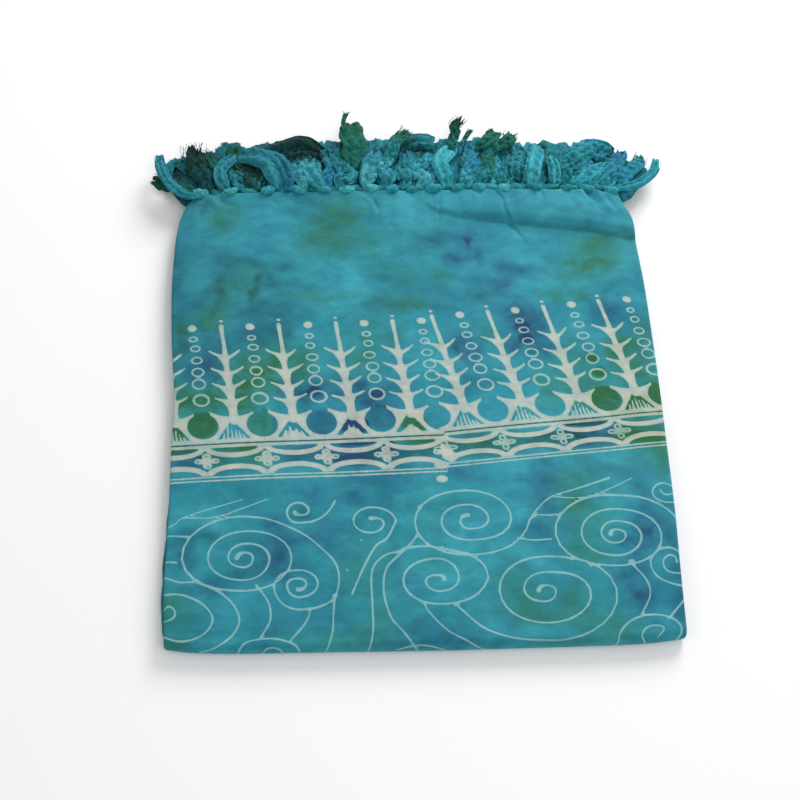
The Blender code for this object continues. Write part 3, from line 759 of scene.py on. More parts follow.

# The dyes
# The whole cloth is dipped in turquoise. Teal, green and blue are then dabbed on wet, so that they
# run into soft clouds; three thin teal dabs under the pleat are painted shadow, not dye. Each row
# is one dab: x, y, radius across, radius up, strength.
DABS = {
    "teal": (
        (-184, 150, 14, 60, 0.3), (-172, 185, 13, 7, 0.6), (-191, 128, 6, 16, 0.7), (-193, 104, 5, 12, 0.4),
        (-151, 120, 10, 18, 0.5), (-155, 105, 4, 10, 0.9), (-165, 95, 13, 12, 0.55), (-171, 85, 10, 8, 0.5),
        (-136, 129, 15, 5, 0.5), (-120, 117, 11, 15, 0.5), (-126, 106, 3, 10, 0.9), (-128, 96, 3, 6, 0.6),
        (-100, 124, 10, 5, 0.55), (-100, 106, 22, 8, 0.4), (-112, 84, 22, 10, 0.4), (-104, 66, 8, 10, 0.5),
        (-120, 63, 12, 12, 0.5), (-18, 88, 16, 5, 0.5), (-189, 58, 10, 24, 1.0), (-165, 62, 10, 20, 0.7),
        (20, 155, 10, 6, 0.4), (22, 147, 8, 5, 0.35), (55, 95, 10, 6, 0.4), (-140, 80, 24, 9, 0.4),
        (-60, 135, 30, 6, 0.25), (-178, -120, 7, 16, 0.6), (-166, -110, 9, 5, 0.5),
        (-140, -115, 26, 9, 0.3), (-125, -141, 18, 8, 0.45), (-150, -145, 18, 7, 0.3),
        (-92, -93, 8, 6, 0.5), (-100, -199, 90, 4, 0.05), (30, -198, 90, 5, 0.05), (150, -197, 60, 5, 0.1),
        # Painted shadow: the first three dabs on the next line darken a thin line under the pleat's foot.
        (100, 162, 26, 3, 0.3), (138, 157, 24, 3, 0.3), (172, 151, 18, 3, 0.25), (-186, -196, 12, 8, 0.5),
        (-130, -75, 22, 6, 0.25), (25, -88, 14, 6, 0.3), (-20, 60, 10, 16, 0.25), (128, 44, 9, 12, 0.35),
        (-93, 24, 8, 10, 0.45), (-32, -44, 26, 8, 0.6), (10, -42, 16, 8, 0.7), (100, -32, 26, 7, 0.4),
        (50, -38, 26, 7, 0.4), (128, -30, 12, 8, 0.5), (-90, -45, 20, 7, 0.25), (-150, -45, 22, 7, 0.3),
        (60, -178, 30, 8, 0.2), (100, 175, 60, 5, 0.2), (-24, -118, 5, 30, 0.25), (-66, -150, 8, 34, 0.15),
        (192, -150, 8, 40, 0.4), (190, 120, 6, 24, 0.15),
    ),
    "green": (
        (-152, 16, 32, 26, 0.4), (-112, 34, 26, 24, 0.3), (170, 26, 22, 30, 0.35), (-155, 168, 13, 11, 0.5),
        (-150, 177, 14, 14, 0.3), (-60, 165, 24, 22, 0.5), (-66, 160, 8, 15, 0.5), (-56, 170, 10, 10, 0.5),
        (-45, 147, 32, 10, 0.35), (-77, 151, 18, 14, 0.4), (-28, 122, 14, 8, 0.3), (-9, 114, 14, 11, 0.3),
        (-5, 89, 17, 7, 0.75), (-80, 96, 34, 4, 0.45), (-150, 100, 10, 16, 0.35), (-136, 110, 12, 14, 0.4),
        (-162, 79, 16, 8, 0.5), (-157, 69, 9, 7, 0.5), (-190, 66, 8, 12, 0.4), (22, 113, 11, 8, 0.4),
        (150, 140, 14, 13, 0.6), (160, 146, 16, 10, 0.5), (140, 122, 17, 8, 0.6), (156, 126, 14, 9, 0.5),
        (166, 134, 14, 13, 0.35), (133, 111, 15, 6, 0.35), (120, 96, 15, 5, 0.55), (136, 95, 8, 4, 0.5),
        (185, 152, 7, 8, 0.4), (-170, 0, 18, 10, 0.9), (-182, 5, 10, 11, 0.7), (-157, 6, 8, 9, 0.6),
        (-150, 20, 10, 14, 0.3), (-135, 15, 10, 16, 0.75), (-138, 0, 9, 8, 0.7), (-128, 38, 10, 12, 0.5),
        (-122, 22, 14, 14, 0.5), (-110, 45, 8, 9, 0.7), (-109, 30, 8, 9, 0.6), (-110, 14, 8, 9, 0.5),
        (-91, 38, 9, 9, 0.8), (-90, 24, 9, 9, 0.5), (-45, 38, 9, 16, 0.6), (-62, 30, 8, 14, 0.35),
        (-36, 55, 12, 20, 0.35), (-14, 60, 10, 12, 0.2), (112, 12, 16, 8, 0.7), (110, 28, 10, 10, 0.4),
        (130, 28, 10, 16, 0.45), (140, 8, 14, 13, 0.8), (160, 42, 9, 12, 0.5), (168, 48, 13, 8, 0.7),
        (186, 60, 10, 20, 0.4), (178, 26, 10, 14, 0.9), (189, 8, 9, 14, 0.9), (-186, -44, 12, 8, 0.3),
        (-120, -43, 13, 9, 0.7), (-150, -46, 20, 7, 0.35), (0, -36, 24, 8, 0.5), (48, -38, 26, 7, 0.5),
        (92, -34, 22, 7, 0.35), (170, -26, 22, 14, 0.9), (190, -50, 8, 18, 0.9), (175, -54, 14, 8, 0.4),
        (-191, -163, 11, 11, 0.6), (-180, -172, 15, 15, 0.35), (-45, -138, 18, 26, 0.3),
        (-60, -191, 34, 8, 0.4), (-35, -180, 8, 22, 0.4), (-186, -196, 14, 6, 0.5), (115, -70, 18, 8, 0.45),
        (140, -60, 20, 7, 0.25), (121, -88, 17, 8, 0.7), (114, -99, 12, 9, 0.5), (132, -106, 14, 10, 0.35),
        (118, -121, 12, 12, 0.4), (126, -134, 15, 6, 0.5), (69, -168, 12, 8, 0.6), (86, -176, 22, 10, 0.45),
        (111, -164, 15, 12, 0.4), (65, -150, 12, 15, 0.35), (120, -181, 22, 10, 0.45),
        (140, -191, 22, 8, 0.5), (110, -199, 50, 4, 0.3), (10, -137, 20, 10, 0.2), (-60, -200, 60, 4, 0.2),
        (60, 60, 10, 12, 0.2), (-60, 185, 30, 8, 0.2), (5, -100, 14, 20, 0.15),
    ),
    "blue": (
        (-172, 142, 20, 16, 0.25), (-128, 62, 14, 12, 0.4), (-172, 30, 14, 15, 0.55),
        (-160, 31, 11, 11, 0.5), (-150, 52, 12, 12, 0.4), (45, 152, 21, 14, 0.5), (49, 145, 3, 7, 1.0),
        (56, 133, 4, 8, 0.8), (45, 130, 14, 5, 0.45), (35, 130, 9, 5, 0.4), (80, 122, 12, 7, 0.45),
        (76, 112, 15, 15, 0.5), (96, 118, 16, 7, 0.4), (60, 105, 16, 7, 0.35), (84, 80, 18, 9, 0.8),
        (88, 68, 14, 12, 0.8), (100, 64, 12, 12, 0.6), (104, 50, 8, 11, 0.7), (79, 48, 8, 9, 0.6),
        (166, 80, 12, 11, 0.7), (150, 78, 9, 9, 0.6), (36, 48, 10, 13, 0.9), (45, 30, 10, 15, 0.5),
        (28, 95, 20, 10, 0.25), (-90, 8, 9, 9, 0.7), (-104, 6, 8, 8, 0.4), (-79, 12, 16, 12, 0.5),
        (-62, 10, 8, 9, 0.5), (-45, 12, 9, 9, 0.8), (-42, 1, 9, 7, 0.9), (-30, 5, 16, 12, 0.4),
        (-14, 8, 9, 14, 0.3), (-180, -45, 10, 7, 0.5), (-95, -44, 18, 7, 0.4), (-60, -42, 22, 8, 0.7),
        (-10, -42, 10, 7, 0.4), (142, -30, 9, 8, 0.8), (-85, -75, 11, 6, 0.6), (-82, -83, 7, 4, 0.5),
        (-55, -82, 10, 6, 0.8), (-25, -66, 24, 9, 0.4), (-70, -105, 10, 7, 0.55), (-85, -115, 22, 6, 0.5),
        (-75, -123, 14, 6, 0.4), (-115, -103, 7, 4, 0.7), (-110, -122, 12, 20, 0.6),
        (-108, -127, 6, 6, 0.6), (-160, -151, 22, 6, 0.5), (-105, -146, 14, 8, 0.4),
        (-178, -128, 6, 14, 0.3), (-10, -181, 9, 6, 0.75), (-2, -188, 8, 6, 0.5), (-100, -176, 26, 10, 0.2),
        (-70, -182, 14, 8, 0.25), (33, -63, 14, 6, 0.5), (95, -55, 9, 8, 0.4), (94, -72, 12, 14, 0.65),
        (170, -78, 8, 12, 0.6), (93, -92, 9, 8, 0.7), (90, -110, 15, 8, 0.6), (152, -122, 8, 6, 0.8),
        (170, -112, 12, 15, 0.7), (179, -100, 12, 10, 0.5), (165, -126, 11, 8, 0.6),
        (188, -118, 8, 12, 0.5), (152, -145, 11, 8, 0.7), (156, -159, 11, 13, 0.7),
        (161, -169, 11, 10, 0.5), (186, -151, 14, 12, 0.45), (190, -172, 9, 12, 0.5),
        (10, -195, 40, 7, 0.5), (160, -62, 22, 7, 0.3), (-20, -150, 10, 14, 0.2), (-190, 90, 8, 14, 0.2),
        (-110, 150, 30, 16, 0.15), (165, -188, 14, 6, 0.3), (44, -105, 16, 12, 0.15),
    ),
}
# Fillings of single lobes, rings, triangles and scallops
FILLED = {
    "teal": (
        (-164, 1, 4, 4, 0.9), (-124, 26, 5, 3, 1.4), (21, 50, 2.2, 2.2, 1.4), (128, -20, 22, 4, 1.4),
        (93, 44, 5, 4, 0.5), (-168, -46, 4, 3, 1.2), (146, 24, 5.5, 4, 0.5), (155, -27, 10, 8, 0.6),
        (-27, -15, 13, 12, 0.3), (-120, -14, 3, 12, 0.5), (-150, -52, 45, 9, 0.25), (-55, -48, 55, 9, 0.4),
        (50, -42, 34, 9, 0.45), (118, -36, 40, 9, 0.5), (175, -33, 22, 12, 0.4),
    ),
    "green": (
        (-168, -20, 14, 12, 0.9), (-122, -20, 13, 12, 0.55), (-190, -27, 10, 10, 1.0),
        (-4, -20, 11, 9, 1.0), (-186, -41, 18, 4, 0.9), (-140, -38, 17, 4, 0.7), (5, -33, 20, 4, 0.8),
        (141, 36, 5.5, 4, 1.1), (146, 24, 5.5, 4, 1.2), (149, -1, 14, 12, 0.8), (173, -4, 11, 9, 0.9),
        (175, -12, 22, 4, 1.0), (172, -34, 22, 5, 1.0), (104, -3, 12, 11, 0.3), (127, -9, 11, 8, 0.25),
        (-140, -53, 18, 4, 0.35), (82, -14, 11, 8, 0.3), (190, 0, 10, 12, 0.9), (-98, -20, 4, 8, 0.2),
    ),
    "blue": (
        (-75, -18, 13, 12, 0.6), (-28, -15, 13, 12, 0.5), (-50, -21, 11, 9, 1.4), (-48, -34, 18, 4, 1.4),
        (-31, 7, 6, 5, 0.8), (-24, -40, 5, 7, 1.3), (88, 66, 6, 5, 0.6), (90, 55, 6, 5, 0.6),
        (-50, -51, 20, 5, 0.6), (-145, -24, 10, 9, 0.2), (-180, -54, 14, 4, 0.35), (-110, -20, 4, 10, 0.5),
        (36, -28, 19, 4, 0.35), (60, -8, 13, 11, 0.15), (14, -14, 13, 11, 0.1), (-80, 8, 7, 6, 0.4),
    ),
}


def cloud(x, y, scale, phase):
    """Slow unevenness of -1 to 1, from a few crossed waves."""
    first = np.sin(x / scale + 1.7 * np.sin(y / (scale * 1.3) + phase) + phase)
    second = np.sin(y / (scale * 0.83) + 1.9 * np.sin(x / (scale * 1.1) - phase) + 2.1 * phase)
    return (first + second) / 2


def dabbed(x, y, dabs, filled):
    """How much of one dye each point took up: soft clouds, and flat fillings that stop at wax."""
    amount = np.zeros_like(x)
    run_x = x + 2.4 * cloud(x, y, 14, 0.4) + 1.8 * cloud(x, y, 5.1, 2.9) + 1.2 * cloud(x, y, 2.2, 0.9)
    run_y = y + 2.2 * cloud(y, x, 13, 1.9) + 1.6 * cloud(x, y, 4.3, 4.2) + 1.0 * cloud(y, x, 1.9, 3.1)
    for middle_x, middle_y, radius_x, radius_y, strength in dabs:
        reach = ((run_x - middle_x) / radius_x) ** 2 + ((run_y - middle_y) / radius_y) ** 2
        amount = amount + strength * np.exp(-reach)
    amount = 0.98 * (1 - np.exp(-1.4 * amount * (1 + 0.3 * cloud(x, y, 4.3, 1.1))))
    for middle_x, middle_y, radius_x, radius_y, strength in filled:
        reach = ((x - middle_x) / radius_x) ** 2 + ((y - middle_y) / radius_y) ** 2
        amount = amount + strength * np.exp(-reach ** 5)
    return np.clip(amount, 0, 1.4)


# Batik-dyed rayon: dull as matt paper from above, with a faint silky gloss at a low angle. The dye
# sits in clouds, the wax marks have wavering edges, and the fine weave breaks the light a little.
THREAD_SPACING = 0.35
WEAVE_DRAWN = 3.2 * THREAD_SPACING  # coarser than the real weave, which is too fine to show
WAVE_UNIT = 2 * math.pi / 20  # length of one wave of the wave texture when its scale is 1
# Sizes of what is uneven in the dye, of the wax's wavering edge and of the cloth's slight rumples
CLOUD_SIZE = 38.5
SMOKE_SIZE = 16.1
FLECK_SIZE = 8.33
WAVER_SIZE = 3.85
RUMPLE_SIZE = 16.7
# The border's fine lines, by distance below the dark one: middle of the pale pair, and how far each
# pale line is from it; half the width of a line with its soft edge; and where the border ends
PALE_PAIR = 29.15
PAIR_HALF_GAP = 1.4
LINE_HALF_WIDTH = 0.62
BORDER_END = 44.0
# The node that mixes two colours: its input sockets, and its settings with its output socket
MIX_FACTOR, MIX_FIRST, MIX_SECOND = 0, 6, 7
MIXED = dict(output=2, data_type="RGBA")


def linear(hex_colour):
    """sRGB hex to linear, with alpha."""
    values = [int(hex_colour[k:k + 2], 16) / 255 for k in (1, 3, 5)]
    return tuple(v / 12.92 if v <= 0.04045 else ((v + 0.055) / 1.055) ** 2.4 for v in values) + (1.0,)


def set_inputs(tree, node, inputs):
    """Each input is a value or another node's output."""
    for socket, value in inputs.items():
        if isinstance(value, bpy.types.NodeSocket):
            tree.links.new(value, node.inputs[socket])
        else:
            node.inputs[socket].default_value = value


def add_node(tree, kind, inputs, output=0, **settings):
    """Adds a node with its settings and inputs, and gives back one of its outputs."""
    node = tree.nodes.new(kind)
    for name, value in settings.items():
        setattr(node, name, value)
    set_inputs(tree, node, inputs)
    return node.outputs[output]


def new_material(name):
    material = bpy.data.materials.new(name)
    material.use_nodes = True
    tree = material.node_tree
    return material, tree, tree.nodes["Principled BSDF"]


def batik_rayon(name):
    """Turquoise, green, blue and teal dye over one another, with the pen's and the stamp's wax marks."""
    material, tree, shader = new_material(name)
    place = add_node(tree, "ShaderNodeTexCoord", {}, "Object")
    amounts = {}
    for field in ("green", "blue", "teal", "wax_stamp", "band", "pen_reach"):
        amounts[field] = add_node(tree, "ShaderNodeAttribute", {}, "Fac", attribute_name=field)

    # Wet dye crept along the threads across the cloth, so its clouds lie a little flat
    crept = add_node(tree, "ShaderNodeMapping", {"Vector": place, "Scale": (0.62, 1.0, 1.0)})
    broad = add_node(tree, "ShaderNodeTexNoise", {
        "Vector": crept, "Scale": 1 / (CLOUD_SIZE * MM), "Detail": 5.0, "Roughness": 0.6, "Distortion": 0.6})
    smoky = add_node(tree, "ShaderNodeTexNoise", {
        "Vector": crept, "Scale": 1 / (SMOKE_SIZE * MM), "Detail": 5.0, "Roughness": 0.7, "Distortion": 1.2})
    fine = add_node(tree, "ShaderNodeTexNoise", {
        "Vector": crept, "Scale": 1 / (FLECK_SIZE * MM), "Detail": 4.0, "Roughness": 0.65})
    tone = add_node(tree, "ShaderNodeMapRange", {"Value": broad, "From Min": 0.3, "From Max": 0.7})
    dyed = add_node(tree, "ShaderNodeMix", {
        MIX_FACTOR: tone, MIX_FIRST: linear("#1F7F93"), MIX_SECOND: linear("#3EA8B8")}, **MIXED)

    # Each dye takes unevenly: pale where it is thin, and its own deep colour where it is full
    uneven = add_node(tree, "ShaderNodeMath", {0: smoky, 1: 1.7, 2: -0.15}, operation="MULTIPLY_ADD")
    uneven = add_node(tree, "ShaderNodeMath", {0: fine, 1: 0.6, 2: uneven}, operation="MULTIPLY_ADD")
    for dye, thin, full in (("teal", "#20707E", "#0E464E"), ("green", "#35886E", "#2B6E44"),
                            ("blue", "#256E92", "#1B486E")):
        amount = add_node(tree, "ShaderNodeMath", {0: amounts[dye], 1: uneven}, operation="MULTIPLY",
                          use_clamp=True)
        strong = add_node(tree, "ShaderNodeMix", {
            MIX_FACTOR: amount, MIX_FIRST: linear(thin), MIX_SECOND: linear(full)}, **MIXED)
        dyed = add_node(tree, "ShaderNodeMix", {
            MIX_FACTOR: amount, MIX_FIRST: dyed, MIX_SECOND: strong}, **MIXED)
    speckle = add_node(tree, "ShaderNodeMapRange", {"Value": fine, "From Min": 0.3, "From Max": 0.75})
    dark = add_node(tree, "ShaderNodeMix", {
        MIX_FACTOR: 1.0, MIX_FIRST: dyed, MIX_SECOND: linear("#D3DBDC")}, **MIXED, blend_type="MULTIPLY")
    dyed = add_node(tree, "ShaderNodeMix", {
        MIX_FACTOR: speckle, MIX_FIRST: dark, MIX_SECOND: dyed}, **MIXED)

    # The pen's line is measured in half widths: more than a face away from a line only pen_reach counts
    offset = add_node(tree, "ShaderNodeAttribute", {}, "Vector", attribute_name="pen_offset")
    straight = add_node(tree, "ShaderNodeVectorMath", {0: offset}, "Value", operation="LENGTH")
    pen = add_node(tree, "ShaderNodeMath", {0: straight, 1: 0.75, 2: -0.75}, operation="MULTIPLY_ADD")
    guard = add_node(tree, "ShaderNodeMath", {0: amounts["pen_reach"], 1: 2.0}, operation="MULTIPLY")
    pen = add_node(tree, "ShaderNodeMath", {0: pen, 1: guard}, operation="MAXIMUM")

    # The border's dark line is a gap in the wax of the stamp, and the pale pair below it is wax
    gap = amounts["band"]
    pair = amounts["band"]
    for how, value in (("ABSOLUTE", 0.0), ("MULTIPLY", -1.0), ("ADD", LINE_HALF_WIDTH)):
        gap = add_node(tree, "ShaderNodeMath", {0: gap, 1: value}, operation=how)
    for how, value in (("ADD", PALE_PAIR), ("ABSOLUTE", 0.0), ("SUBTRACT", PAIR_HALF_GAP), ("ABSOLUTE", 0.0),
                       ("SUBTRACT", LINE_HALF_WIDTH)):
        pair = add_node(tree, "ShaderNodeMath", {0: pair, 1: value}, operation=how)
    stamp = add_node(tree, "ShaderNodeMath", {0: amounts["wax_stamp"], 1: gap}, operation="MAXIMUM")
    stamp = add_node(tree, "ShaderNodeMath", {0: stamp, 1: pair}, operation="MINIMUM")
    crack = add_node(tree, "ShaderNodeMapRange", {"Value": gap, "From Min": -0.5, "From Max": 0.4})
    dyed = add_node(tree, "ShaderNodeMix", {
        MIX_FACTOR: crack, MIX_FIRST: dyed, MIX_SECOND: linear("#1C5A50")}, **MIXED)

    # Pen lines are paler in the border. Dye stains every wax mark at its rim and a little all over.
    border = add_node(tree, "ShaderNodeMapRange", {
        "Value": amounts["band"], "From Min": -BORDER_END, "From Max": 4.0 - BORDER_END})
    pen_colour = add_node(tree, "ShaderNodeMix", {
        MIX_FACTOR: border, MIX_FIRST: linear("#9DCBD0"), MIX_SECOND: linear("#BCCCC2")}, **MIXED)
    waver = add_node(tree, "ShaderNodeTexNoise", {
        "Vector": place, "Scale": 1 / (WAVER_SIZE * MM), "Detail": 2.0})
    for edge, colour, wander, keeps in ((pen, pen_colour, 0.5, 0.84), (stamp, linear("#C6C7BA"), 0.9, 0.95)):
        shift = add_node(tree, "ShaderNodeMath", {0: waver, 1: wander, 2: -wander / 2},
                         operation="MULTIPLY_ADD")
        edge = add_node(tree, "ShaderNodeMath", {0: edge, 1: shift}, operation="ADD")
        share = add_node(tree, "ShaderNodeMapRange", {"Value": edge, "From Min": 0.24, "From Max": -0.22,
                                                      "To Max": keeps}, interpolation_type="SMOOTHSTEP")
        rim = add_node(tree, "ShaderNodeMapRange", {"Value": edge, "From Min": -1.6, "From Max": -0.1,
                                                    "To Max": 0.55})
        stained = add_node(tree, "ShaderNodeMix", {
            MIX_FACTOR: rim, MIX_FIRST: colour, MIX_SECOND: linear("#8DBAB2")}, **MIXED)
        soaked = add_node(tree, "ShaderNodeMix", {
            MIX_FACTOR: 0.4, MIX_FIRST: stained, MIX_SECOND: dyed}, **MIXED)
        stained = add_node(tree, "ShaderNodeMix", {
            MIX_FACTOR: speckle, MIX_FIRST: soaked, MIX_SECOND: stained}, **MIXED)
        dyed = add_node(tree, "ShaderNodeMix", {
            MIX_FACTOR: share, MIX_FIRST: dyed, MIX_SECOND: stained}, **MIXED)

    # Threads over and under one another: one wave of the texture spans two of them
    ribs = []
    for direction in ("X", "Y"):
        ribs.append(add_node(tree, "ShaderNodeTexWave", {
            "Vector": place, "Scale": WAVE_UNIT / (2 * WEAVE_DRAWN * MM), "Distortion": 1.5, "Detail": 1.0},
                             "Fac", bands_direction=direction))
    weave = add_node(tree, "ShaderNodeMath", {0: ribs[0], 1: ribs[1]}, operation="MULTIPLY")
    rumple = add_node(tree, "ShaderNodeTexNoise", {
        "Vector": place, "Scale": 1 / (RUMPLE_SIZE * MM), "Detail": 4.0})
    relief = add_node(tree, "ShaderNodeMath", {0: rumple, 1: 5.0, 2: weave}, operation="MULTIPLY_ADD")
    bump = add_node(tree, "ShaderNodeBump", {"Height": relief, "Strength": 0.35, "Distance": 0.12 * MM})
    set_inputs(tree, shader, {"Base Color": dyed, "Roughness": 0.75, "IOR": 1.47, "Specular IOR Level": 0.2,
                              "Sheen Weight": 0.05, "Sheen Roughness": 0.5, "Normal": bump})
    return material


def dye_cloth(piece, x, y, stamp, band, pen, margin):
    """margin is how far off a line's edge the corners of a face that it crosses can be."""
    add_values(piece, "wax_stamp", stamp)
    add_values(piece, "band", band)
    add_values(piece, "pen_reach", pen.apart - margin)
    add_triples(piece, "pen_offset", np.column_stack((pen.offset, np.zeros(len(x)))))
    for dye, dabs in DABS.items():
        add_values(piece, dye, dabbed(x, y, dabs, FILLED[dye]))


UPPER_MARGIN = 0.35
cloth_material = batik_rayon("batik_dyed_rayon")
upper_cloth = add_piece("upper_cloth", upper_points, upper_faces, cloth_material)
dye_cloth(upper_cloth, upper_x, upper_y, stamped.field, stamped.band, drawn_line, UPPER_MARGIN)
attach(upper_cloth, "root")

# The under cloth
# The next width of the same sarong, which the packet lies on. It starts at the near fold and turns up
# at the far edge. It is dyed as the top is, and the pen's spirals run on over it.
FAR_FOLD_RADIUS = 3.6
FAR_FOLD_SETBACK = 10.0
FAR_FOLD_SWEEP = 150
FAR_FOLD_STEPS = 10
UNDER_STEP = 2.2
UNDER_ROWS = 180
UNDER_MARGIN = 0.9
# The pen's spirals on it, in rows and columns: middle of the first, steps, and how far each strays
UNDER_SPIRALS = 5
FIRST_SPIRAL = -160
SPIRAL_STEPS = (80, 78)
SPIRAL_STRAY = 12
under_start = -NEAR_MIDDLE + FOLD_RADIUS
under_end = HEM_MIDDLE - FAR_FOLD_SETBACK - FAR_FOLD_RADIUS
under_shares, under_angles = cloth_columns(UNDER_STEP)
rows = Rows()
for share in np.linspace(0, 1, UNDER_ROWS):
    middle_y = under_start + (under_end - under_start) * share
    x, depth = across(np.full_like(under_shares, middle_y), under_shares, under_angles)
    start_y = near_edge(x) + FOLD_RADIUS
    end_y = hem(x) - FAR_FOLD_SETBACK - FAR_FOLD_RADIUS
    y = start_y + (end_y - start_y) * share
    rows.add(x, y, depth, y)
radius = FAR_FOLD_RADIUS - depth
for angle in np.radians(np.linspace(0, FAR_FOLD_SWEEP, FAR_FOLD_STEPS + 1))[1:]:
    z = FAR_FOLD_RADIUS - radius * np.cos(angle)
    rows.add(x, end_y + radius * np.sin(angle), z, end_y + FAR_FOLD_RADIUS * angle)
under_points, under_x, under_y = rows.joined()
under_line = Wax(under_x, under_y)
under_chance = random.Random(31)
for column in range(UNDER_SPIRALS):
    for row in range(UNDER_SPIRALS):
        middle = (FIRST_SPIRAL + SPIRAL_STEPS[0] * column + under_chance.uniform(-SPIRAL_STRAY, SPIRAL_STRAY),
                  FIRST_SPIRAL + SPIRAL_STEPS[1] * row + under_chance.uniform(-SPIRAL_STRAY, SPIRAL_STRAY))
        growth = under_chance.uniform(2.6, 3.4)
        radii = [3 + growth * k * under_chance.uniform(0.93, 1.07) for k in range(10)]
        turn = under_chance.choice((1, -1))
        line = spiral_line(middle, turn, under_chance.choice("LTRB"), radii, ())
        under_line.draw(line, (1.4, 0.85, 0.9, 0.8, 0.9))
        stem_end = (middle[0] + under_chance.uniform(-45, 45), middle[1] + 55)
        bend = (middle[0] + under_chance.uniform(-30, 30), middle[1] + 40)
        under_line.draw(curve_through((tuple(line[-1]), bend, stem_end), 6), (0.85, 0.9, 0.8))
under_faces = grid_faces(len(rows.points), len(under_shares))
under_cloth = add_piece("under_cloth", under_points, under_faces, cloth_material)
under_cloth.data.flip_normals()
# No stamp was set on this width, so its empty band says both that no wax and that no border is near
dye_cloth(under_cloth, -under_x, under_y, under_line.band, under_line.band, under_line, UNDER_MARGIN)
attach(under_cloth, "root")
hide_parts("outer_cloth")
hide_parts("outer_cloth")

# The inner plies
# Ten more thicknesses of the same cloth, folded back and forth between the upper and the under cloth.
# Only their folded edges show, at the sides and under the fringe, none quite over the next.
PLY_COUNT = 10
PLY_LOW = 1.5
PLY_HIGH = 12.7
PLY_STEP = (PLY_HIGH - PLY_LOW) / PLY_COUNT
PLY_INSETS = (2.2, 1.2, 2.6, 0.7, 1.9, 0.9, 2.3, 0.5, 1.4, 2.6)
PLY_SETBACKS = (13.5, 12.4, 12.2, 12.6, 14.4, 14.2, 9.2, 8.6, 8.8, 10.4)
PEEK_PLIES = (3, 4, 5)
PEEK = 3.0
PLY_CORNER = 9.0
RING_STEP = 3.4
# One ply's rounded edge: share of its thickness, and how far behind its outermost line
PLY_EDGE = ((0.04, 1.9), (0.18, 0.45), (0.5, 0.0), (0.82, 0.45))


def perimeter(step):
    """Points round a square with rounded corners, as shares of the packet's half width and depth."""
    corner = PLY_CORNER / HALF_WIDTH
    reach = 1 - corner
    line = np.linspace(-reach, reach, int(2 * HALF_WIDTH / step), endpoint=False)
    turn = np.linspace(0, math.pi / 2, 6, endpoint=False)
    side = [(v, -1.0) for v in line]
    side += [(reach + corner * math.sin(a), -reach - corner * math.cos(a)) for a in turn]
    ring = []
    for _ in range(4):
        ring += side
        side = [(-y, x) for x, y in side]
    return np.array(ring)


def ply_ring(ring, ply, height, fold_depth):
    """One line round the packet; fold_depth is how far it lies behind the ply's own edge."""
    rough_x = ring[:, 0] * HALF_WIDTH
    from_middle = abs(height - FOLD_RADIUS)
    bulge = math.sqrt(max((FOLD_RADIUS - 1.75) ** 2 - from_middle ** 2, 0.0))
    near = near_edge(rough_x) + FOLD_RADIUS - bulge
    far = hem(rough_x) - PLY_SETBACKS[ply] - fold_depth
    y = near + (far - near) * (ring[:, 1] + 1) / 2
    wander = 0.45 * np.sin(y / 6.2 + 2.3 * ply) + 0.35 * np.sin(y / 17.0 + 4.1 * ply)
    inset = PLY_INSETS[ply] + 0.5 + wander + fold_depth + 2.3 * smooth((y - 128) / 30)
    peek = PEEK * smooth((-62 - y) / 40) * smooth((y + 194) / 12) if ply in PEEK_PLIES else 0.0
    left = side_edge(y, 1) + inset - peek
    right = side_edge(y, 2) - inset
    x = left + (right - left) * (ring[:, 0] + 1) / 2
    level = height + 0.12 * np.sin(y / 23.0 + ply) + 0.1 * np.sin(x / 31.0 + 2 * ply)
    return np.stack((x, y, level), axis=1)


ring = perimeter(RING_STEP)
points = []
for ply in range(PLY_COUNT):
    low = PLY_LOW + PLY_STEP * ply
    for share, fold_depth in PLY_EDGE:
        points.append(ply_ring(ring, ply, low + PLY_STEP * share, fold_depth))
points.append(ply_ring(ring, PLY_COUNT - 1, PLY_HIGH - 0.05, PLY_EDGE[0][1]))
ply_points = np.concatenate(points)
ply_faces = [face[::-1] for face in grid_faces(len(points), len(ring), around=True)]
ply_faces.append(tuple(range(len(ring)))[::-1])
ply_faces.append(tuple((len(points) - 1) * len(ring) + k for k in range(len(ring))))


DYE_RUN = 29.4
THREAD_NOISE = 1.43


def folded_rayon(name):
    """Edges of the folded cloth: the same dyes, in darker, greener colours than on the top."""
    material, tree, shader = new_material(name)
    place = add_node(tree, "ShaderNodeTexCoord", {}, "Object")
    stretched = add_node(tree, "ShaderNodeMapping", {"Vector": place, "Scale": (1.0, 1.0, 5.0)})
    broad = add_node(tree, "ShaderNodeTexNoise", {
        "Vector": stretched, "Scale": 1 / (DYE_RUN * MM), "Detail": 3.0})
    tone = add_node(tree, "ShaderNodeMapRange", {"Value": broad, "From Min": 0.35, "From Max": 0.62})
    dyed = add_node(tree, "ShaderNodeMix", {
        MIX_FACTOR: tone, MIX_FIRST: linear("#1C5A52"), MIX_SECOND: linear("#2B8494")}, **MIXED)
    threads = add_node(tree, "ShaderNodeTexNoise", {
        "Vector": place, "Scale": 1 / (THREAD_NOISE * MM), "Detail": 1.0})
    bump = add_node(tree, "ShaderNodeBump", {"Height": threads, "Strength": 0.3, "Distance": 0.15 * MM})
    set_inputs(tree, shader, {"Base Color": dyed, "Roughness": 0.78, "IOR": 1.47, "Specular IOR Level": 0.25,
                              "Normal": bump})
    return material


inner_plies = add_piece("inner_plies", ply_points, ply_faces, folded_rayon("folded_dyed_rayon"))
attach(inner_plies, "root")
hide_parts("folded_layers")

# The fringes
# Both short ends of the cloth keep their loose warp threads, tied in bundles with an overhand knot
# each. The dye bath has matted them into soft flat locks. Folding brings all of them to the far edge.
YARN_WIDTH = 0.6
YARN_SIDES = 3
YARN_STEPS = 8
LOCK_AROUND = 28

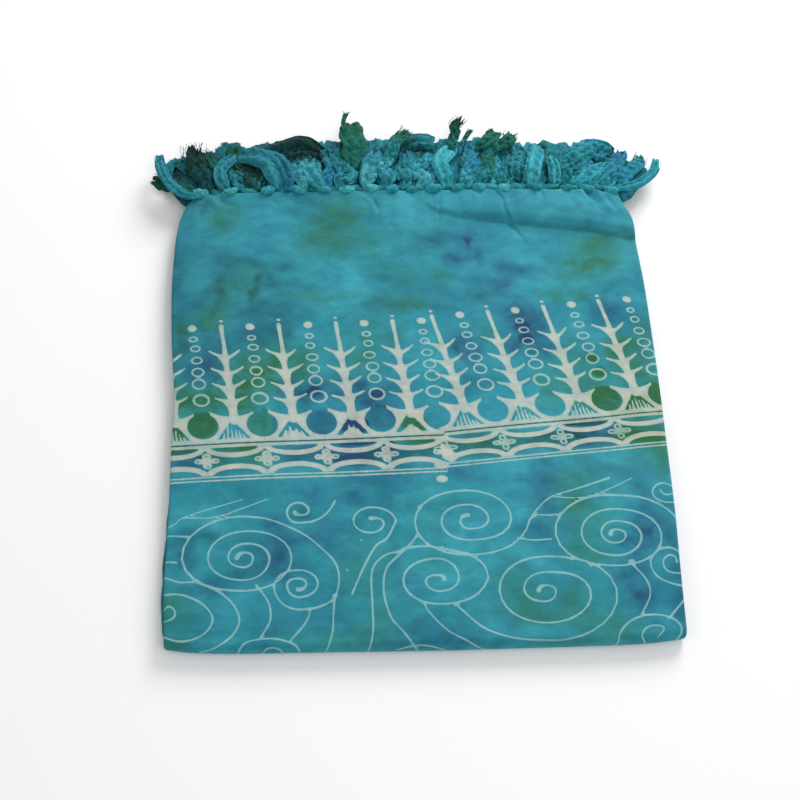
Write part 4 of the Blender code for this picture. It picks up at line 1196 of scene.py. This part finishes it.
# Dyes of the tassels: where they lay folded in the bath, ends took more green and blue
TASSEL_COLOURS = {
    "turquoise": ("#3CA5B8", "#3599AE"),
    "light": ("#58BDCA", "#4DB4C3"),
    "teal": ("#2E939F", "#278593"),
    "green": ("#257A70", "#1F6F59"),
    "olive": ("#1D615C", "#255F48"),
    "dark": ("#12565C", "#0F443E"),
    "blue": ("#2F8EAF", "#2C7FA3"),
    "navy": ("#134F62", "#103E4E"),
}

# Locks and knots are darker towards the left corner: place along the hem, and how light the locks are there
TONE_ALONG_HEM = ((-170, 0.74), (-95, 0.74), (-60, 0.88), (-30, 0.98), (20, 1.04), (80, 1.1), (170, 1.18))
KNOT_TONES = ((-180, 0.95), (-60, 1.05), (170, 1.15))

# Locks that show best: colour at the knot, colour at the tip, half width, half thickness, crimp,
# fraying, and the places that each runs through, with its knot first
FRONT_TASSELS = (
    ("turquoise", "turquoise", 4.6, 1.8, 0.3, 0.6,
     ((-171, 192, 17), (-186, 193, 19), (-198, 203, 20), (-206, 219, 19), (-208, 234, 17))),
    ("green", "green", 6.5, 2.0, 1.2, 1.2,
     ((-172, 195, 15), (-186, 200, 15), (-200, 206, 14), (-213, 212, 13))),
    ("teal", "navy", 8.0, 2.0, 0.8, 0.8,
     ((-170, 195, 15), (-178, 203, 13), (-186, 213, 12), (-191, 228, 10))),
    ("dark", "teal", 6.5, 1.5, 0.8, 1.0,
     ((-166, 198, 12), (-174, 210, 12), (-184, 224, 12), (-192, 234, 10))),
    ("dark", "dark", 9.0, 2.4, 1.8, 2.8,
     ((-166, 196, 15), (-170, 208, 18), (-176, 222, 18), (-180, 242, 16))),
    ("teal", "green", 4.2, 1.2, 0.8, 1.4,
     ((-152, 197, 15), (-154, 210, 18), (-162, 225, 17), (-171, 240, 13))),
    ("turquoise", "turquoise", 5.8, 2.4, 0.8, 0.6,
     ((-149, 197, 16), (-155, 205, 19), (-157, 217, 20), (-150, 227, 18), (-146, 236, 14))),
    ("olive", "dark", 9.5, 2.0, 0.9, 1.0,
     ((-124, 199, 13), (-131, 211, 14), (-138, 223, 13), (-144, 234, 11))),
    ("turquoise", "turquoise", 9.5, 2.6, 0.5, 0.5,
     ((-108, 199, 16), (-110, 210, 20), (-116, 223, 21), (-128, 232, 18), (-142, 235, 15))),
    ("blue", "turquoise", 7.0, 2.4, 0.4, 0.5,
     ((-101, 197, 17), (-100, 209, 20), (-105, 223, 21), (-116, 233, 18), (-126, 238, 15))),
    ("dark", "dark", 10.0, 2.8, 1.2, 0.7,
     ((-126, 234, 11), (-113, 239, 13), (-98, 244, 15), (-84, 246, 15), (-73, 240, 13))),
    ("dark", "dark", 7.5, 2.4, 1.4, 0.7,
     ((-116, 229, 11), (-100, 232, 13), (-84, 234, 14), (-70, 232, 12))),
    ("light", "turquoise", 6.0, 2.4, 1.8, 0.8,
     ((-90, 197, 16), (-88, 206, 19), (-93, 217, 20), (-88, 228, 17))),
    ("turquoise", "light", 7.0, 2.6, 1.9, 0.8,
     ((-72, 198, 16), (-77, 207, 19), (-84, 218, 19), (-80, 230, 16))),
    ("blue", "teal", 7.0, 2.2, 2.0, 1.0,
     ((-64, 200, 14), (-66, 212, 16), (-62, 225, 15), (-66, 240, 12))),
    ("turquoise", "teal", 7.0, 2.6, 2.8, 0.8,
     ((-50, 199, 16), (-56, 206, 19), (-48, 214, 19), (-56, 224, 17), (-50, 236, 14))),
    ("green", "green", 10.5, 2.2, 1.1, 0.9,
     ((-45, 222, 14), (-44, 234, 17), (-44, 246, 19), (-46, 257, 18), (-46, 269, 16))),
    ("green", "green", 1.9, 1.2, 0.8, 1.0,
     ((-50, 252, 18), (-52, 264, 20), (-50, 278, 19))),
    ("light", "turquoise", 7.5, 2.2, 1.5, 0.7,
     ((-34, 199, 16), (-34, 208, 19), (-31, 220, 20), (-25, 238, 17))),
    ("turquoise", "light", 6.5, 2.6, 2.4, 0.8,
     ((-20, 199, 15), (-17, 208, 19), (-21, 219, 19), (-14, 231, 16))),
    ("teal", "green", 6.0, 2.0, 1.4, 1.4,
     ((-16, 226, 14), (-12, 238, 17), (-6, 249, 18), (2, 261, 15))),
    ("turquoise", "turquoise", 7.0, 2.6, 2.8, 0.8,
     ((-6, 200, 16), (0, 208, 19), (-6, 217, 19), (2, 226, 17), (-2, 238, 14))),
    ("dark", "teal", 8.5, 2.6, 1.4, 1.0,
     ((-4, 242, 12), (6, 248, 15), (16, 250, 15), (26, 252, 12))),
    ("light", "turquoise", 6.5, 2.6, 2.6, 0.8,
     ((9, 201, 16), (14, 209, 19), (9, 218, 19), (16, 230, 16))),
    ("turquoise", "light", 7.5, 2.4, 0.8, 0.6,
     ((32, 201, 16), (31, 211, 20), (29, 224, 21), (34, 235, 18), (42, 243, 15))),
    ("green", "dark", 4.4, 1.8, 1.8, 1.8,
     ((40, 236, 14), (41, 246, 18), (44, 256, 19), (42, 263, 19), (50, 272, 17))),
    ("teal", "green", 1.8, 1.0, 1.0, 1.2,
     ((46, 236, 14), (50, 248, 17), (57, 259, 18))),
    ("turquoise", "blue", 7.0, 2.4, 2.0, 0.8,
     ((46, 201, 15), (51, 210, 19), (57, 222, 19), (62, 234, 15))),
    ("teal", "green", 7.0, 2.4, 2.4, 1.2,
     ((62, 201, 16), (64, 211, 19), (70, 222, 19), (66, 234, 16))),
    ("green", "green", 6.5, 2.2, 1.8, 1.6,
     ((60, 244, 13), (68, 248, 16), (75, 254, 16), (80, 261, 13))),
    ("green", "green", 6.0, 2.2, 1.8, 1.6,
     ((74, 240, 14), (83, 246, 16), (90, 252, 15), (94, 260, 12))),
    ("teal", "teal", 7.5, 2.6, 2.4, 0.8,
     ((80, 200, 14), (84, 210, 17), (90, 222, 17), (88, 236, 13))),
    ("turquoise", "light", 7.5, 2.0, 0.5, 0.9,
     ((113, 243, 17), (111, 232, 23), (108, 219, 24), (105, 206, 20), (104, 202, 18))),
    ("turquoise", "light", 5.5, 1.8, 0.5, 0.9,
     ((124, 232, 17), (125, 222, 22), (126, 213, 22), (127, 205, 18))),
    ("teal", "teal", 6.5, 2.2, 1.8, 0.8,
     ((98, 238, 16), (96, 226, 20), (94, 213, 20), (95, 207, 17))),
    ("teal", "teal", 8.0, 2.8, 2.8, 0.8,
     ((128, 203, 15), (133, 212, 18), (139, 221, 19), (146, 232, 15))),
    ("turquoise", "turquoise", 7.5, 2.6, 1.2, 0.6,
     ((142, 203, 16), (153, 210, 19), (165, 217, 18), (184, 226, 13))),
    ("teal", "turquoise", 8.0, 3.0, 1.8, 0.6,
     ((132, 226, 13), (146, 235, 16), (159, 240, 15), (174, 240, 11))),
    ("blue", "teal", 7.0, 2.6, 1.8, 0.6,
     ((150, 240, 12), (160, 246, 14), (170, 246, 13), (180, 242, 10))),
    ("turquoise", "blue", 6.5, 2.4, 1.6, 0.8,
     ((158, 202, 16), (168, 211, 19), (180, 223, 17), (188, 241, 12))),
    ("blue", "teal", 6.5, 2.2, 1.6, 1.0,
     ((170, 203, 14), (183, 211, 16), (196, 222, 14), (205, 237, 10))),
    ("turquoise", "turquoise", 4.2, 2.1, 0.3, 0.6,
     ((175, 199, 16), (188, 201, 17), (201, 206, 17), (212, 217, 16), (217, 231, 14))),
)

# Rows of fringe, top row first: setback from the hem, height, knots' size across, along and up, drop to
# the tips, the room that the row's locks have between the rows below and above, and the locks' length
FRINGE_ROWS = (
    dict(setback=2.4, height=16.6, knot=(12.5, 8.0, 6.8), drop=5.0, room=(10.5, 32.0), length=50),
    dict(setback=7.7, height=9.6, knot=(11.5, 5.4, 3.6), drop=1.5, room=(7.0, 13.0), length=62),
    dict(setback=9.7, height=6.2, knot=(11.0, 5.4, 3.0), drop=1.6, room=(3.8, 8.4), length=64),
    dict(setback=9.7, height=3.2, knot=(11.0, 5.4, 2.6), drop=1.4, room=(0.4, 5.2), length=64),
)
ROW_SHIFTS = (0.0, 3.5, -3.5, 3.5)
KNOT_DYES = ("turquoise", "turquoise", "light", "teal")

# Pads of yarn between the first row's knots: what they leave free, their widest, and how low they lie
PAD_GAP = 5.5
PAD_WIDTH = 16.5
PAD_DEPTH = 7.0
PAD_HEIGHT = 5.4
PAD_DROP = 2.0
PAD_DYES = ("turquoise", "teal", "teal")

# Locks that fill the first row under the chosen ones
FILLING_LOCKS = 26
FILLING_REACH = 166
FILLING_ROOM = (10.5, 18.5)
FILLING_HALF_WIDTH = 7.2
FILLING_HALF_THICKNESS = 2.0
FILLING_DROP = 1.6
FILLING_WANDER = 3.5
FILLING_FRAY = 0.7

# Locks of the rows below, two from each knot, which lie flat and smooth
LOWER_HALF_WIDTH = 11.5
LOWER_HALF_THICKNESS = 1.2
LOWER_WANDER = 3.0
LOWER_CRIMP = 0.3
LOWER_FRAY = 0.2


def corner_share(x):
    """0 along most of the hem, rising to 1 at its corners, where the locks fan out."""
    return (abs(x) / 180) ** 9


def lock_heading(x, corner_fan):
    """Which way a lock lies, as an angle from straight back."""
    return math.copysign(corner_fan * corner_share(x), x) + math.atan2(0.03 * x, 58)


def smooth_path(points, count):
    """Evenly spaced places on a smooth curve through points, with sideways and upward directions."""
    curve = curve_through(points, 8)
    along = np.concatenate(([0], np.cumsum(np.linalg.norm(np.diff(curve, axis=0), axis=1))))
    places = np.linspace(0, along[-1], count)
    line = np.stack([np.interp(places, along, curve[:, k]) for k in range(3)], axis=1)
    return line, *directions(line), along[-1]


def directions(line):
    """Sideways and upward directions all along a line."""
    tangent = np.gradient(line, axis=0)
    tangent /= np.linalg.norm(tangent, axis=1)[:, None] + 1e-9
    side = np.cross(tangent, (0.0, 0.0, 1.0))
    side /= np.linalg.norm(side, axis=1)[:, None] + 1e-9
    return side, np.cross(side, tangent)


class Bundle:
    """Collects the closed forms of one row of fringe into one mesh."""

    def __init__(self):
        self.points, self.faces, self.colours, self.strands, self.crumples = [], [], [], [], []
        self.count = 0

    def add(self, rings, colours, strands, crumple):
        """rings, colours and strands are arrays of steps by points round, by 3; crumple is 0 to 1."""
        steps, around, _ = rings.shape
        start = self.count
        for face in grid_faces(steps, around, around=True):
            self.faces.append(tuple(start + face[k] for k in (0, 3, 2, 1)))
        self.faces.append(tuple(start + c for c in range(around))[::-1])
        self.faces.append(tuple(start + (steps - 1) * around + c for c in range(around)))
        self.points.append(rings.reshape(-1, 3))
        self.colours.append(colours.reshape(-1, 3))
        self.strands.append(strands.reshape(-1, 3))
        self.crumples.append(np.full(steps * around, crumple))
        self.count += steps * around


def dye_colour(name, end):
    return np.array(linear(TASSEL_COLOURS[name][end])[:3])


def add_tube(bundle, line, radii, around, first, last):
    """A round strand along line, with its fibres running along it."""
    side, up = directions(line)
    turn = 2 * np.pi * np.arange(around) / around
    ring = side[:, None, :] * np.cos(turn)[None, :, None] + up[:, None, :] * np.sin(turn)[None, :, None]
    rings = line[:, None, :] + ring * radii[:, None, None]
    share = np.linspace(0, 1, len(line))[:, None, None]
    colours = np.broadcast_to(first + (last - first) * share, rings.shape)
    length = np.concatenate(([0], np.cumsum(np.linalg.norm(np.diff(line, axis=0), axis=1))))
    round_half = np.abs(turn - np.pi) * radii.mean()
    strands = np.stack(np.broadcast_arrays(round_half[None, :], length[:, None], float(bundle.count)), axis=2)
    bundle.add(rings, colours, strands, 0.5)


def add_lock(bundle, points, first, last, half_width, half_thickness, crimp, fray, room, chance):
    """A matted lock: a flat bundle with folds along it, crumpled by crimp, with a ragged, frayed end."""
    steps = 30 + int(4 * crimp)
    line, side, up, length = smooth_path(points, steps)
    along = np.linspace(0, 1, steps)
    ease = smooth(along / 0.25)
    phase = [chance.uniform(0, 6.28) for _ in range(8)]
    waves = length / chance.uniform(3.2, 4.6)
    line = line + side * (0.55 * crimp * np.sin(phase[0] + waves * along) * ease)[:, None]
    line = line + up * (0.40 * crimp * np.sin(phase[1] + 1.3 * waves * along) * ease)[:, None]
    spread = (0.5 + 0.5 * smooth(along / 0.3)) * (1 - 0.3 * smooth((along - 0.8) / 0.2))
    turn = 2 * np.pi * np.arange(LOCK_AROUND) / LOCK_AROUND
    place = np.cos(turn)[None, :]
    ragged = 0.035 * fray * (np.sin(4.1 * place + phase[2]) + 0.8 * np.sin(9.7 * place + phase[3]))
    reach = np.minimum(along[:, None] * (1 + ragged), 1.08)
    folds = chance.uniform(1.3, 2.4)
    fold = np.sin(folds * np.pi * place + phase[4] + chance.uniform(-2.0, 2.0) * along[:, None])
    fine_fold = np.sin(3.1 * folds * np.pi * place + phase[5] + 1.5 * along[:, None])
    rounding = np.sqrt(np.clip(1 - place ** 2, 0, 1))
    thin = (1 - 0.75 * smooth((along - 0.6) / 0.4))[:, None]
    lengthwise = length * along[:, None] + phase[6]
    crosswise = half_width * place + 0 * along[:, None]
    crumple = cloud(lengthwise, crosswise, 1.15, phase[7]) + 0.6 * cloud(crosswise, lengthwise, 0.6, phase[5])
    spread_wide, ease_wide = spread[:, None], ease[:, None]
    across_lock = half_width * spread_wide * (place + 0.05 * fine_fold) + 0.35 * crimp * crumple * ease_wide
    lift = half_thickness * np.sin(turn)[None, :] * thin * (0.7 + 0.3 * spread_wide)
    lift = lift + half_thickness * (0.5 * fold + 0.2 * fine_fold) * spread_wide * rounding ** 0.5
    lift = lift + (0.35 + 0.5 * crimp ** 0.8) * crumple * ease_wide * (0.4 + 0.6 * rounding)
    rings = np.zeros((steps, LOCK_AROUND, 3))
    for axis in range(3):
        middle = extended(along, line[:, axis], reach)
        sideways = np.interp(np.minimum(reach, 1), along, side[:, axis])
        upward = np.interp(np.minimum(reach, 1), along, up[:, axis])
        rings[:, :, axis] = middle + sideways * across_lock + upward * lift
    rings[:, :, 2] = np.clip(rings[:, :, 2], room[0], room[1])
    start_colour, end_colour = dye_colour(first, 0), dye_colour(last, 1)
    share = smooth((reach - 0.25 + 0.12 * fold) / 0.6)[:, :, None]
    # Painted light and shade: each lock is lighter on the crests of its folds and crumples, darker in their
    # troughs.
    tone = chance.uniform(0.92, 1.12) * (1 + 0.10 * fold + 0.06 * fine_fold + 0.20 * crumple)
    tone = tone * np.interp(points[0][0], *zip(*TONE_ALONG_HEM))
    colours = (start_colour + (end_colour - start_colour) * share) * tone[:, :, None]
    strands = np.stack(np.broadcast_arrays(half_width * place, length * reach, float(bundle.count)), axis=2)
    bundle.add(rings, colours, strands, min(0.3 + 0.3 * crimp, 1.0))
    way = (along, line, side, up, length, half_width * spread)
    for _ in range(int(1 + 5 * fray)):
        add_loose_yarn(bundle, way, fray, room, end_colour, chance)


def extended(along, values, reach):
    """Values read at reach, carried straight on past the end."""
    beyond = np.maximum(reach - 1, 0) * (values[-1] - values[-2]) / (along[-1] - along[-2])
    return np.interp(np.minimum(reach, 1), along, values) + beyond


def add_loose_yarn(bundle, way, fray, room, colour, chance):
    """A single yarn that leaves the lock part of the way along it and reaches past its tip."""
    along, line, side, up, length, half_widths = way
    begin = chance.uniform(0.45, 0.85)
    reach = np.linspace(begin, 1 + chance.uniform(0.2, 1.6) * fray / length, YARN_STEPS)
    place = math.copysign(chance.random() ** 0.5, chance.uniform(-1, 1))
    out = place * np.interp(reach, along, half_widths)
    free = smooth((reach - begin) / (reach[-1] - begin))
    out = out + free * fray * (1.2 * place + chance.uniform(-0.9, 0.9))
    out = out + free * 0.5 * fray * np.sin(chance.uniform(0, 6.28) + 7 * free)
    lift = free * fray * chance.uniform(-0.3, 1.2) + 0.4
    clipped = np.minimum(reach, 1)
    yarn = np.zeros((YARN_STEPS, 3))
    for axis in range(3):
        yarn[:, axis] = extended(along, line[:, axis], reach)
        yarn[:, axis] += np.interp(clipped, along, side[:, axis]) * out
        yarn[:, axis] += np.interp(clipped, along, up[:, axis]) * lift
    yarn[:, 2] = np.clip(yarn[:, 2], room[0] + YARN_WIDTH / 2, room[1])
    radii = YARN_WIDTH / 2 * np.linspace(1.1, 0.6, YARN_STEPS) * chance.uniform(0.8, 1.2)
    shade = colour * chance.uniform(0.75, 1.3)
    add_tube(bundle, yarn, radii, YARN_SIDES, shade, shade)


def add_knot(bundle, middle, size, colour, chance):
    """A tight overhand knot: a smooth lump with slanting grooves where the bundle wraps round itself."""
    width, depth, height = (value * chance.uniform(0.82, 1.18) for value in size)
    along = np.linspace(0.0, math.pi, 15)[:, None]
    turn = (2 * np.pi * np.arange(18) / 18)[None, :]
    full = np.maximum(np.sin(along), 0.03) ** 0.62
    x = -width / 2 * np.cos(along) + 0 * turn
    slant = chance.uniform(0.5, 0.9) * chance.choice((1, -1))
    y = depth / 2 * full * np.cos(turn)
    z = height / 2 * full * np.sin(turn)
    draw_in = np.zeros_like(x)
    for place in (-0.26 + chance.uniform(-0.06, 0.06), 0.24 + chance.uniform(-0.06, 0.06)):
        draw_in += np.exp(-((x / width + slant * y / depth * 0.6 - place) / 0.055) ** 2)
    shrink = 1 - 0.20 * draw_in
    tilt = chance.uniform(-0.3, 0.3)
    rings = np.stack((middle[0] + x, middle[1] + y * shrink + tilt * x, middle[2] + z * shrink), axis=2)
    shade = dye_colour(colour, 0) * chance.uniform(0.92, 1.08) * np.interp(middle[0], *zip(*KNOT_TONES))
    # Painted shade: the grooves where the bundle wraps round itself are coloured darker.
    colours = shade * (1 - 0.3 * np.clip(draw_in, 0, 1))[:, :, None]
    strands = np.stack(np.broadcast_arrays(y, x, float(bundle.count)), axis=2)
    bundle.add(rings, colours, strands, 0.2)


# Noise cells for each millimetre across and along a lock: 0.6 mm by 7 mm, where real fibres are finer.
# The third sets each lock apart from the next.
FIBRE_CELLS = (1.6, 0.14, 0.37)
CRUMPLE_SIZE = 4.35
PATCH_SIZE = 14.3


def fringe_rayon(name):
    """Matted rayon yarn: silkier than the woven cloth, crumpled, with fine fibres along each lock."""
    material, tree, shader = new_material(name)
    place = add_node(tree, "ShaderNodeTexCoord", {}, "Object")
    # The yarn's dye, with painted light and shade from its folds, crumples and knot grooves
    dyed = add_node(tree, "ShaderNodeAttribute", {}, "Color", attribute_name="yarn_dye_and_shade")
    strand = add_node(tree, "ShaderNodeAttribute", {}, "Vector", attribute_name="strand")
    crumple = add_node(tree, "ShaderNodeAttribute", {}, "Fac", attribute_name="crumple")
    run = add_node(tree, "ShaderNodeMapping", {"Vector": strand, "Scale": FIBRE_CELLS})
    fibres = add_node(tree, "ShaderNodeTexNoise", {
        "Vector": run, "Scale": 1.0, "Detail": 3.0, "Roughness": 0.6})
    crumpled = add_node(tree, "ShaderNodeTexNoise", {
        "Vector": place, "Scale": 1 / (CRUMPLE_SIZE * MM), "Detail": 3.0, "Distortion": 0.8})
    patches = add_node(tree, "ShaderNodeTexNoise", {
        "Vector": place, "Scale": 1 / (PATCH_SIZE * MM), "Detail": 3.0})
    # Greener patches of dye, then shade between the fibres and in the crumples
    for value, low, high, tint in ((patches, 0.35, 0.65, "#D6EEE2"), (fibres, 0.35, 0.65, "#CDDDE0"),
                                   (crumpled, 0.3, 0.55, "#A9C6CC")):
        share = add_node(tree, "ShaderNodeMapRange", {"Value": value, "From Min": low, "From Max": high})
        tinted = add_node(tree, "ShaderNodeMix", {
            MIX_FACTOR: 1.0, MIX_FIRST: dyed, MIX_SECOND: linear(tint)}, **MIXED, blend_type="MULTIPLY")
        dyed = add_node(tree, "ShaderNodeMix", {
            MIX_FACTOR: share, MIX_FIRST: tinted, MIX_SECOND: dyed}, **MIXED)
    deep = add_node(tree, "ShaderNodeMath", {0: crumpled, 1: crumple}, operation="MULTIPLY")
    relief = add_node(tree, "ShaderNodeMath", {0: deep, 1: 4.5, 2: fibres}, operation="MULTIPLY_ADD")
    bump = add_node(tree, "ShaderNodeBump", {"Height": relief, "Strength": 0.9, "Distance": 0.6 * MM})
    set_inputs(tree, shader, {"Base Color": dyed, "Roughness": 0.62, "IOR": 1.47, "Specular IOR Level": 0.1,
                              "Sheen Weight": 0.05, "Normal": bump})
    return material


def straggle(root, heading, length, drop, wander_most, chance):
    """Places along a lock that wanders a little on its way to the tip."""
    places = []
    phase = chance.uniform(0, 6.28)
    for share in (0, 0.25, 0.5, 0.75, 1.0):
        wander = wander_most * (math.sin(4.4 * share + phase) - math.sin(phase)) * share ** 0.7
        x = root[0] + math.sin(heading) * length * share + math.cos(heading) * wander
        y = root[1] + math.cos(heading) * length * share - math.sin(heading) * wander
        places.append((x, y, root[2] - drop * share + chance.uniform(-0.4, 0.5)))
    return places


fringe_material = fringe_rayon("matted_rayon_yarn")
for number, row in enumerate(FRINGE_ROWS):
    chance = random.Random(70 + number)
    bundle = Bundle()
    knot_middles = []
    for knot in KNOTS:
        middle_x = knot * (1 - 0.02 * number) + ROW_SHIFTS[number]
        hem_y = float(hem(np.array(middle_x)))
        lift = float(pleat_lift(np.array(middle_x), np.array(hem_y))) if number == 0 else 0.0
        middle_y = hem_y - row["setback"] + row["knot"][1] / 2 + chance.uniform(-0.7, 1.3)
        middle = (middle_x, middle_y, row["height"] + lift)
        knot_middles.append(middle)
        add_knot(bundle, middle, row["knot"], chance.choice(KNOT_DYES), chance)
    if number == 0:
        for first, second in zip(knot_middles, knot_middles[1:]):
            width = min(second[0] - first[0] - PAD_GAP, PAD_WIDTH)
            middle_x = (first[0] + second[0]) / 2
            middle = (middle_x, first[1] + chance.uniform(0.5, 2.5), (first[2] + second[2]) / 2 - PAD_DROP)
            add_knot(bundle, middle, (width, PAD_DEPTH, PAD_HEIGHT), chance.choice(PAD_DYES), chance)
        for k in range(FILLING_LOCKS):
            x = FILLING_REACH * (2 * k / (FILLING_LOCKS - 1) - 1)
            lift = float(pleat_lift(np.array(x), np.array(197.0)))
            root = (x, float(hem(np.array(x))) + 4.5, 13.4 + 0.7 * lift)
            heading = lock_heading(x, 0.8) + chance.uniform(-0.25, 0.25)
            length = row["length"] * chance.uniform(0.72, 1.0) * (1 - 0.3 * corner_share(x))
            places = straggle(root, heading, length, FILLING_DROP, FILLING_WANDER, chance)
            first = chance.choice(("turquoise", "turquoise", "teal", "light"))
            last = chance.choice(("teal", "turquoise", "turquoise", "teal", "green"))
            crimp = chance.uniform(1.6, 2.8)
            add_lock(bundle, places, first, last, FILLING_HALF_WIDTH, FILLING_HALF_THICKNESS, crimp,
                     FILLING_FRAY, FILLING_ROOM, chance)
        for first, last, half_width, thick, crimp, fray, places in FRONT_TASSELS:
            add_lock(bundle, places, first, last, half_width, thick, crimp, fray, row["room"], chance)
    else:
        for middle in knot_middles:
            for side_share in (-1, 1):
                length = row["length"] * chance.uniform(0.95, 1.02) * (1 - 0.28 * corner_share(middle[0]))
                heading = lock_heading(middle[0], 0.85) + 0.09 * side_share + chance.uniform(-0.12, 0.12)
                root = (middle[0] + 2.5 * side_share, middle[1] + 2, middle[2])
                places = straggle(root, heading, length, row["drop"], LOWER_WANDER, chance)
                first = chance.choice(("turquoise", "teal", "teal"))
                last = chance.choice(("turquoise", "teal", "turquoise", "teal"))
                add_lock(bundle, places, first, last, LOWER_HALF_WIDTH, LOWER_HALF_THICKNESS, LOWER_CRIMP,
                         LOWER_FRAY, row["room"], chance)
    name = "fringe_row_%d" % (number + 1)
    fringe = add_piece(name, np.concatenate(bundle.points), bundle.faces, fringe_material)
    # The yarn's dye, with its painted light and shade
    dye = fringe.data.color_attributes.new("yarn_dye_and_shade", "FLOAT_COLOR", "POINT")
    colours = np.concatenate(bundle.colours)
    colours = np.concatenate((np.clip(colours, 0, 1), np.ones((len(colours), 1))), axis=1)
    dye.data.foreach_set("color", colours.astype(np.float32).ravel())
    add_triples(fringe, "strand", np.concatenate(bundle.strands))
    add_values(fringe, "crumple", np.concatenate(bundle.crumples))
    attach(fringe, "root")
    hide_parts("fringe_%d" % (number + 1))

# The table, the light and the camera
# A pale matt table top under a large soft light that stands beyond the far edge, as a window does.
TABLE_REACH = 3.0
MOTTLE_SIZE = 333.0
floor_mesh = bpy.data.meshes.new("table_top")
corners = [(x * TABLE_REACH, y * TABLE_REACH, 0) for x, y in ((-1, -1), (1, -1), (1, 1), (-1, 1))]
floor_mesh.from_pydata(corners, [], [(0, 1, 2, 3)])
floor = bpy.data.objects.new("table_top", floor_mesh)
bpy.context.scene.collection.objects.link(floor)
floor_material, floor_tree, floor_shader = new_material("matt_white_laminate")
floor_place = add_node(floor_tree, "ShaderNodeTexCoord", {}, "Object")
floor_noise = add_node(floor_tree, "ShaderNodeTexNoise", {
    "Vector": floor_place, "Scale": 1 / (MOTTLE_SIZE * MM)})
floor_colour = add_node(floor_tree, "ShaderNodeMix", {
    MIX_FACTOR: floor_noise, MIX_FIRST: linear("#FAFAFA"), MIX_SECOND: linear("#FCFCFC")}, **MIXED)
set_inputs(floor_tree, floor_shader, {
    "Base Color": floor_colour, "Roughness": 0.9, "Specular IOR Level": 0.1})
floor_mesh.materials.append(floor_material)

world = bpy.data.worlds.new("studio")
bpy.context.scene.world = world
world.use_nodes = True
world.node_tree.nodes["Background"].inputs["Color"].default_value = linear("#FFFFFF")
world.node_tree.nodes["Background"].inputs["Strength"].default_value = 0.52


def add_light(name, place, aim, size, power):
    lamp = bpy.data.lights.new(name, "AREA")
    lamp.shape = "DISK"
    lamp.size = size
    lamp.energy = power
    item = bpy.data.objects.new(name, lamp)
    bpy.context.scene.collection.objects.link(item)
    item.location = place
    item.rotation_mode = "QUATERNION"
    item.rotation_quaternion = (Vector(aim) - Vector(place)).to_track_quat("-Z", "Y")
    return item


# The window, and the pale room behind the near edge, in metres and watts
add_light("window", (0.75, 1.45, 1.0), (0, 0.05, 0), 1.0, 27)
add_light("room", (0.3, -0.8, 1.7), (0, -0.05, 0), 1.4, 8)

# The camera, fitted to the packet's corners in the photograph. It looks down over the near edge.
LENS = 68.4
DISTANCE = 1.2082
PITCH = math.radians(62.592)
YAW = math.radians(-7.778)
ROLL = math.radians(6.217)
AIM = Vector((-0.01272, 0.00814, 0.0))
back = Vector((math.sin(YAW) * math.cos(PITCH), -math.cos(YAW) * math.cos(PITCH), math.sin(PITCH)))
level_x = Vector((0, 0, 1)).cross(back).normalized()
level_y = back.cross(level_x)
camera_x = math.cos(ROLL) * level_x + math.sin(ROLL) * level_y
camera_y = -math.sin(ROLL) * level_x + math.cos(ROLL) * level_y
camera_data = bpy.data.cameras.new("camera")
camera_data.lens = LENS
camera = bpy.data.objects.new("camera", camera_data)
bpy.context.scene.collection.objects.link(camera)
place = Matrix((camera_x, camera_y, back)).transposed().to_4x4()
place.translation = AIM + back * DISTANCE
camera.matrix_world = place
bpy.context.scene.camera = camera
bpy.context.scene.view_settings.view_transform = "Standard"
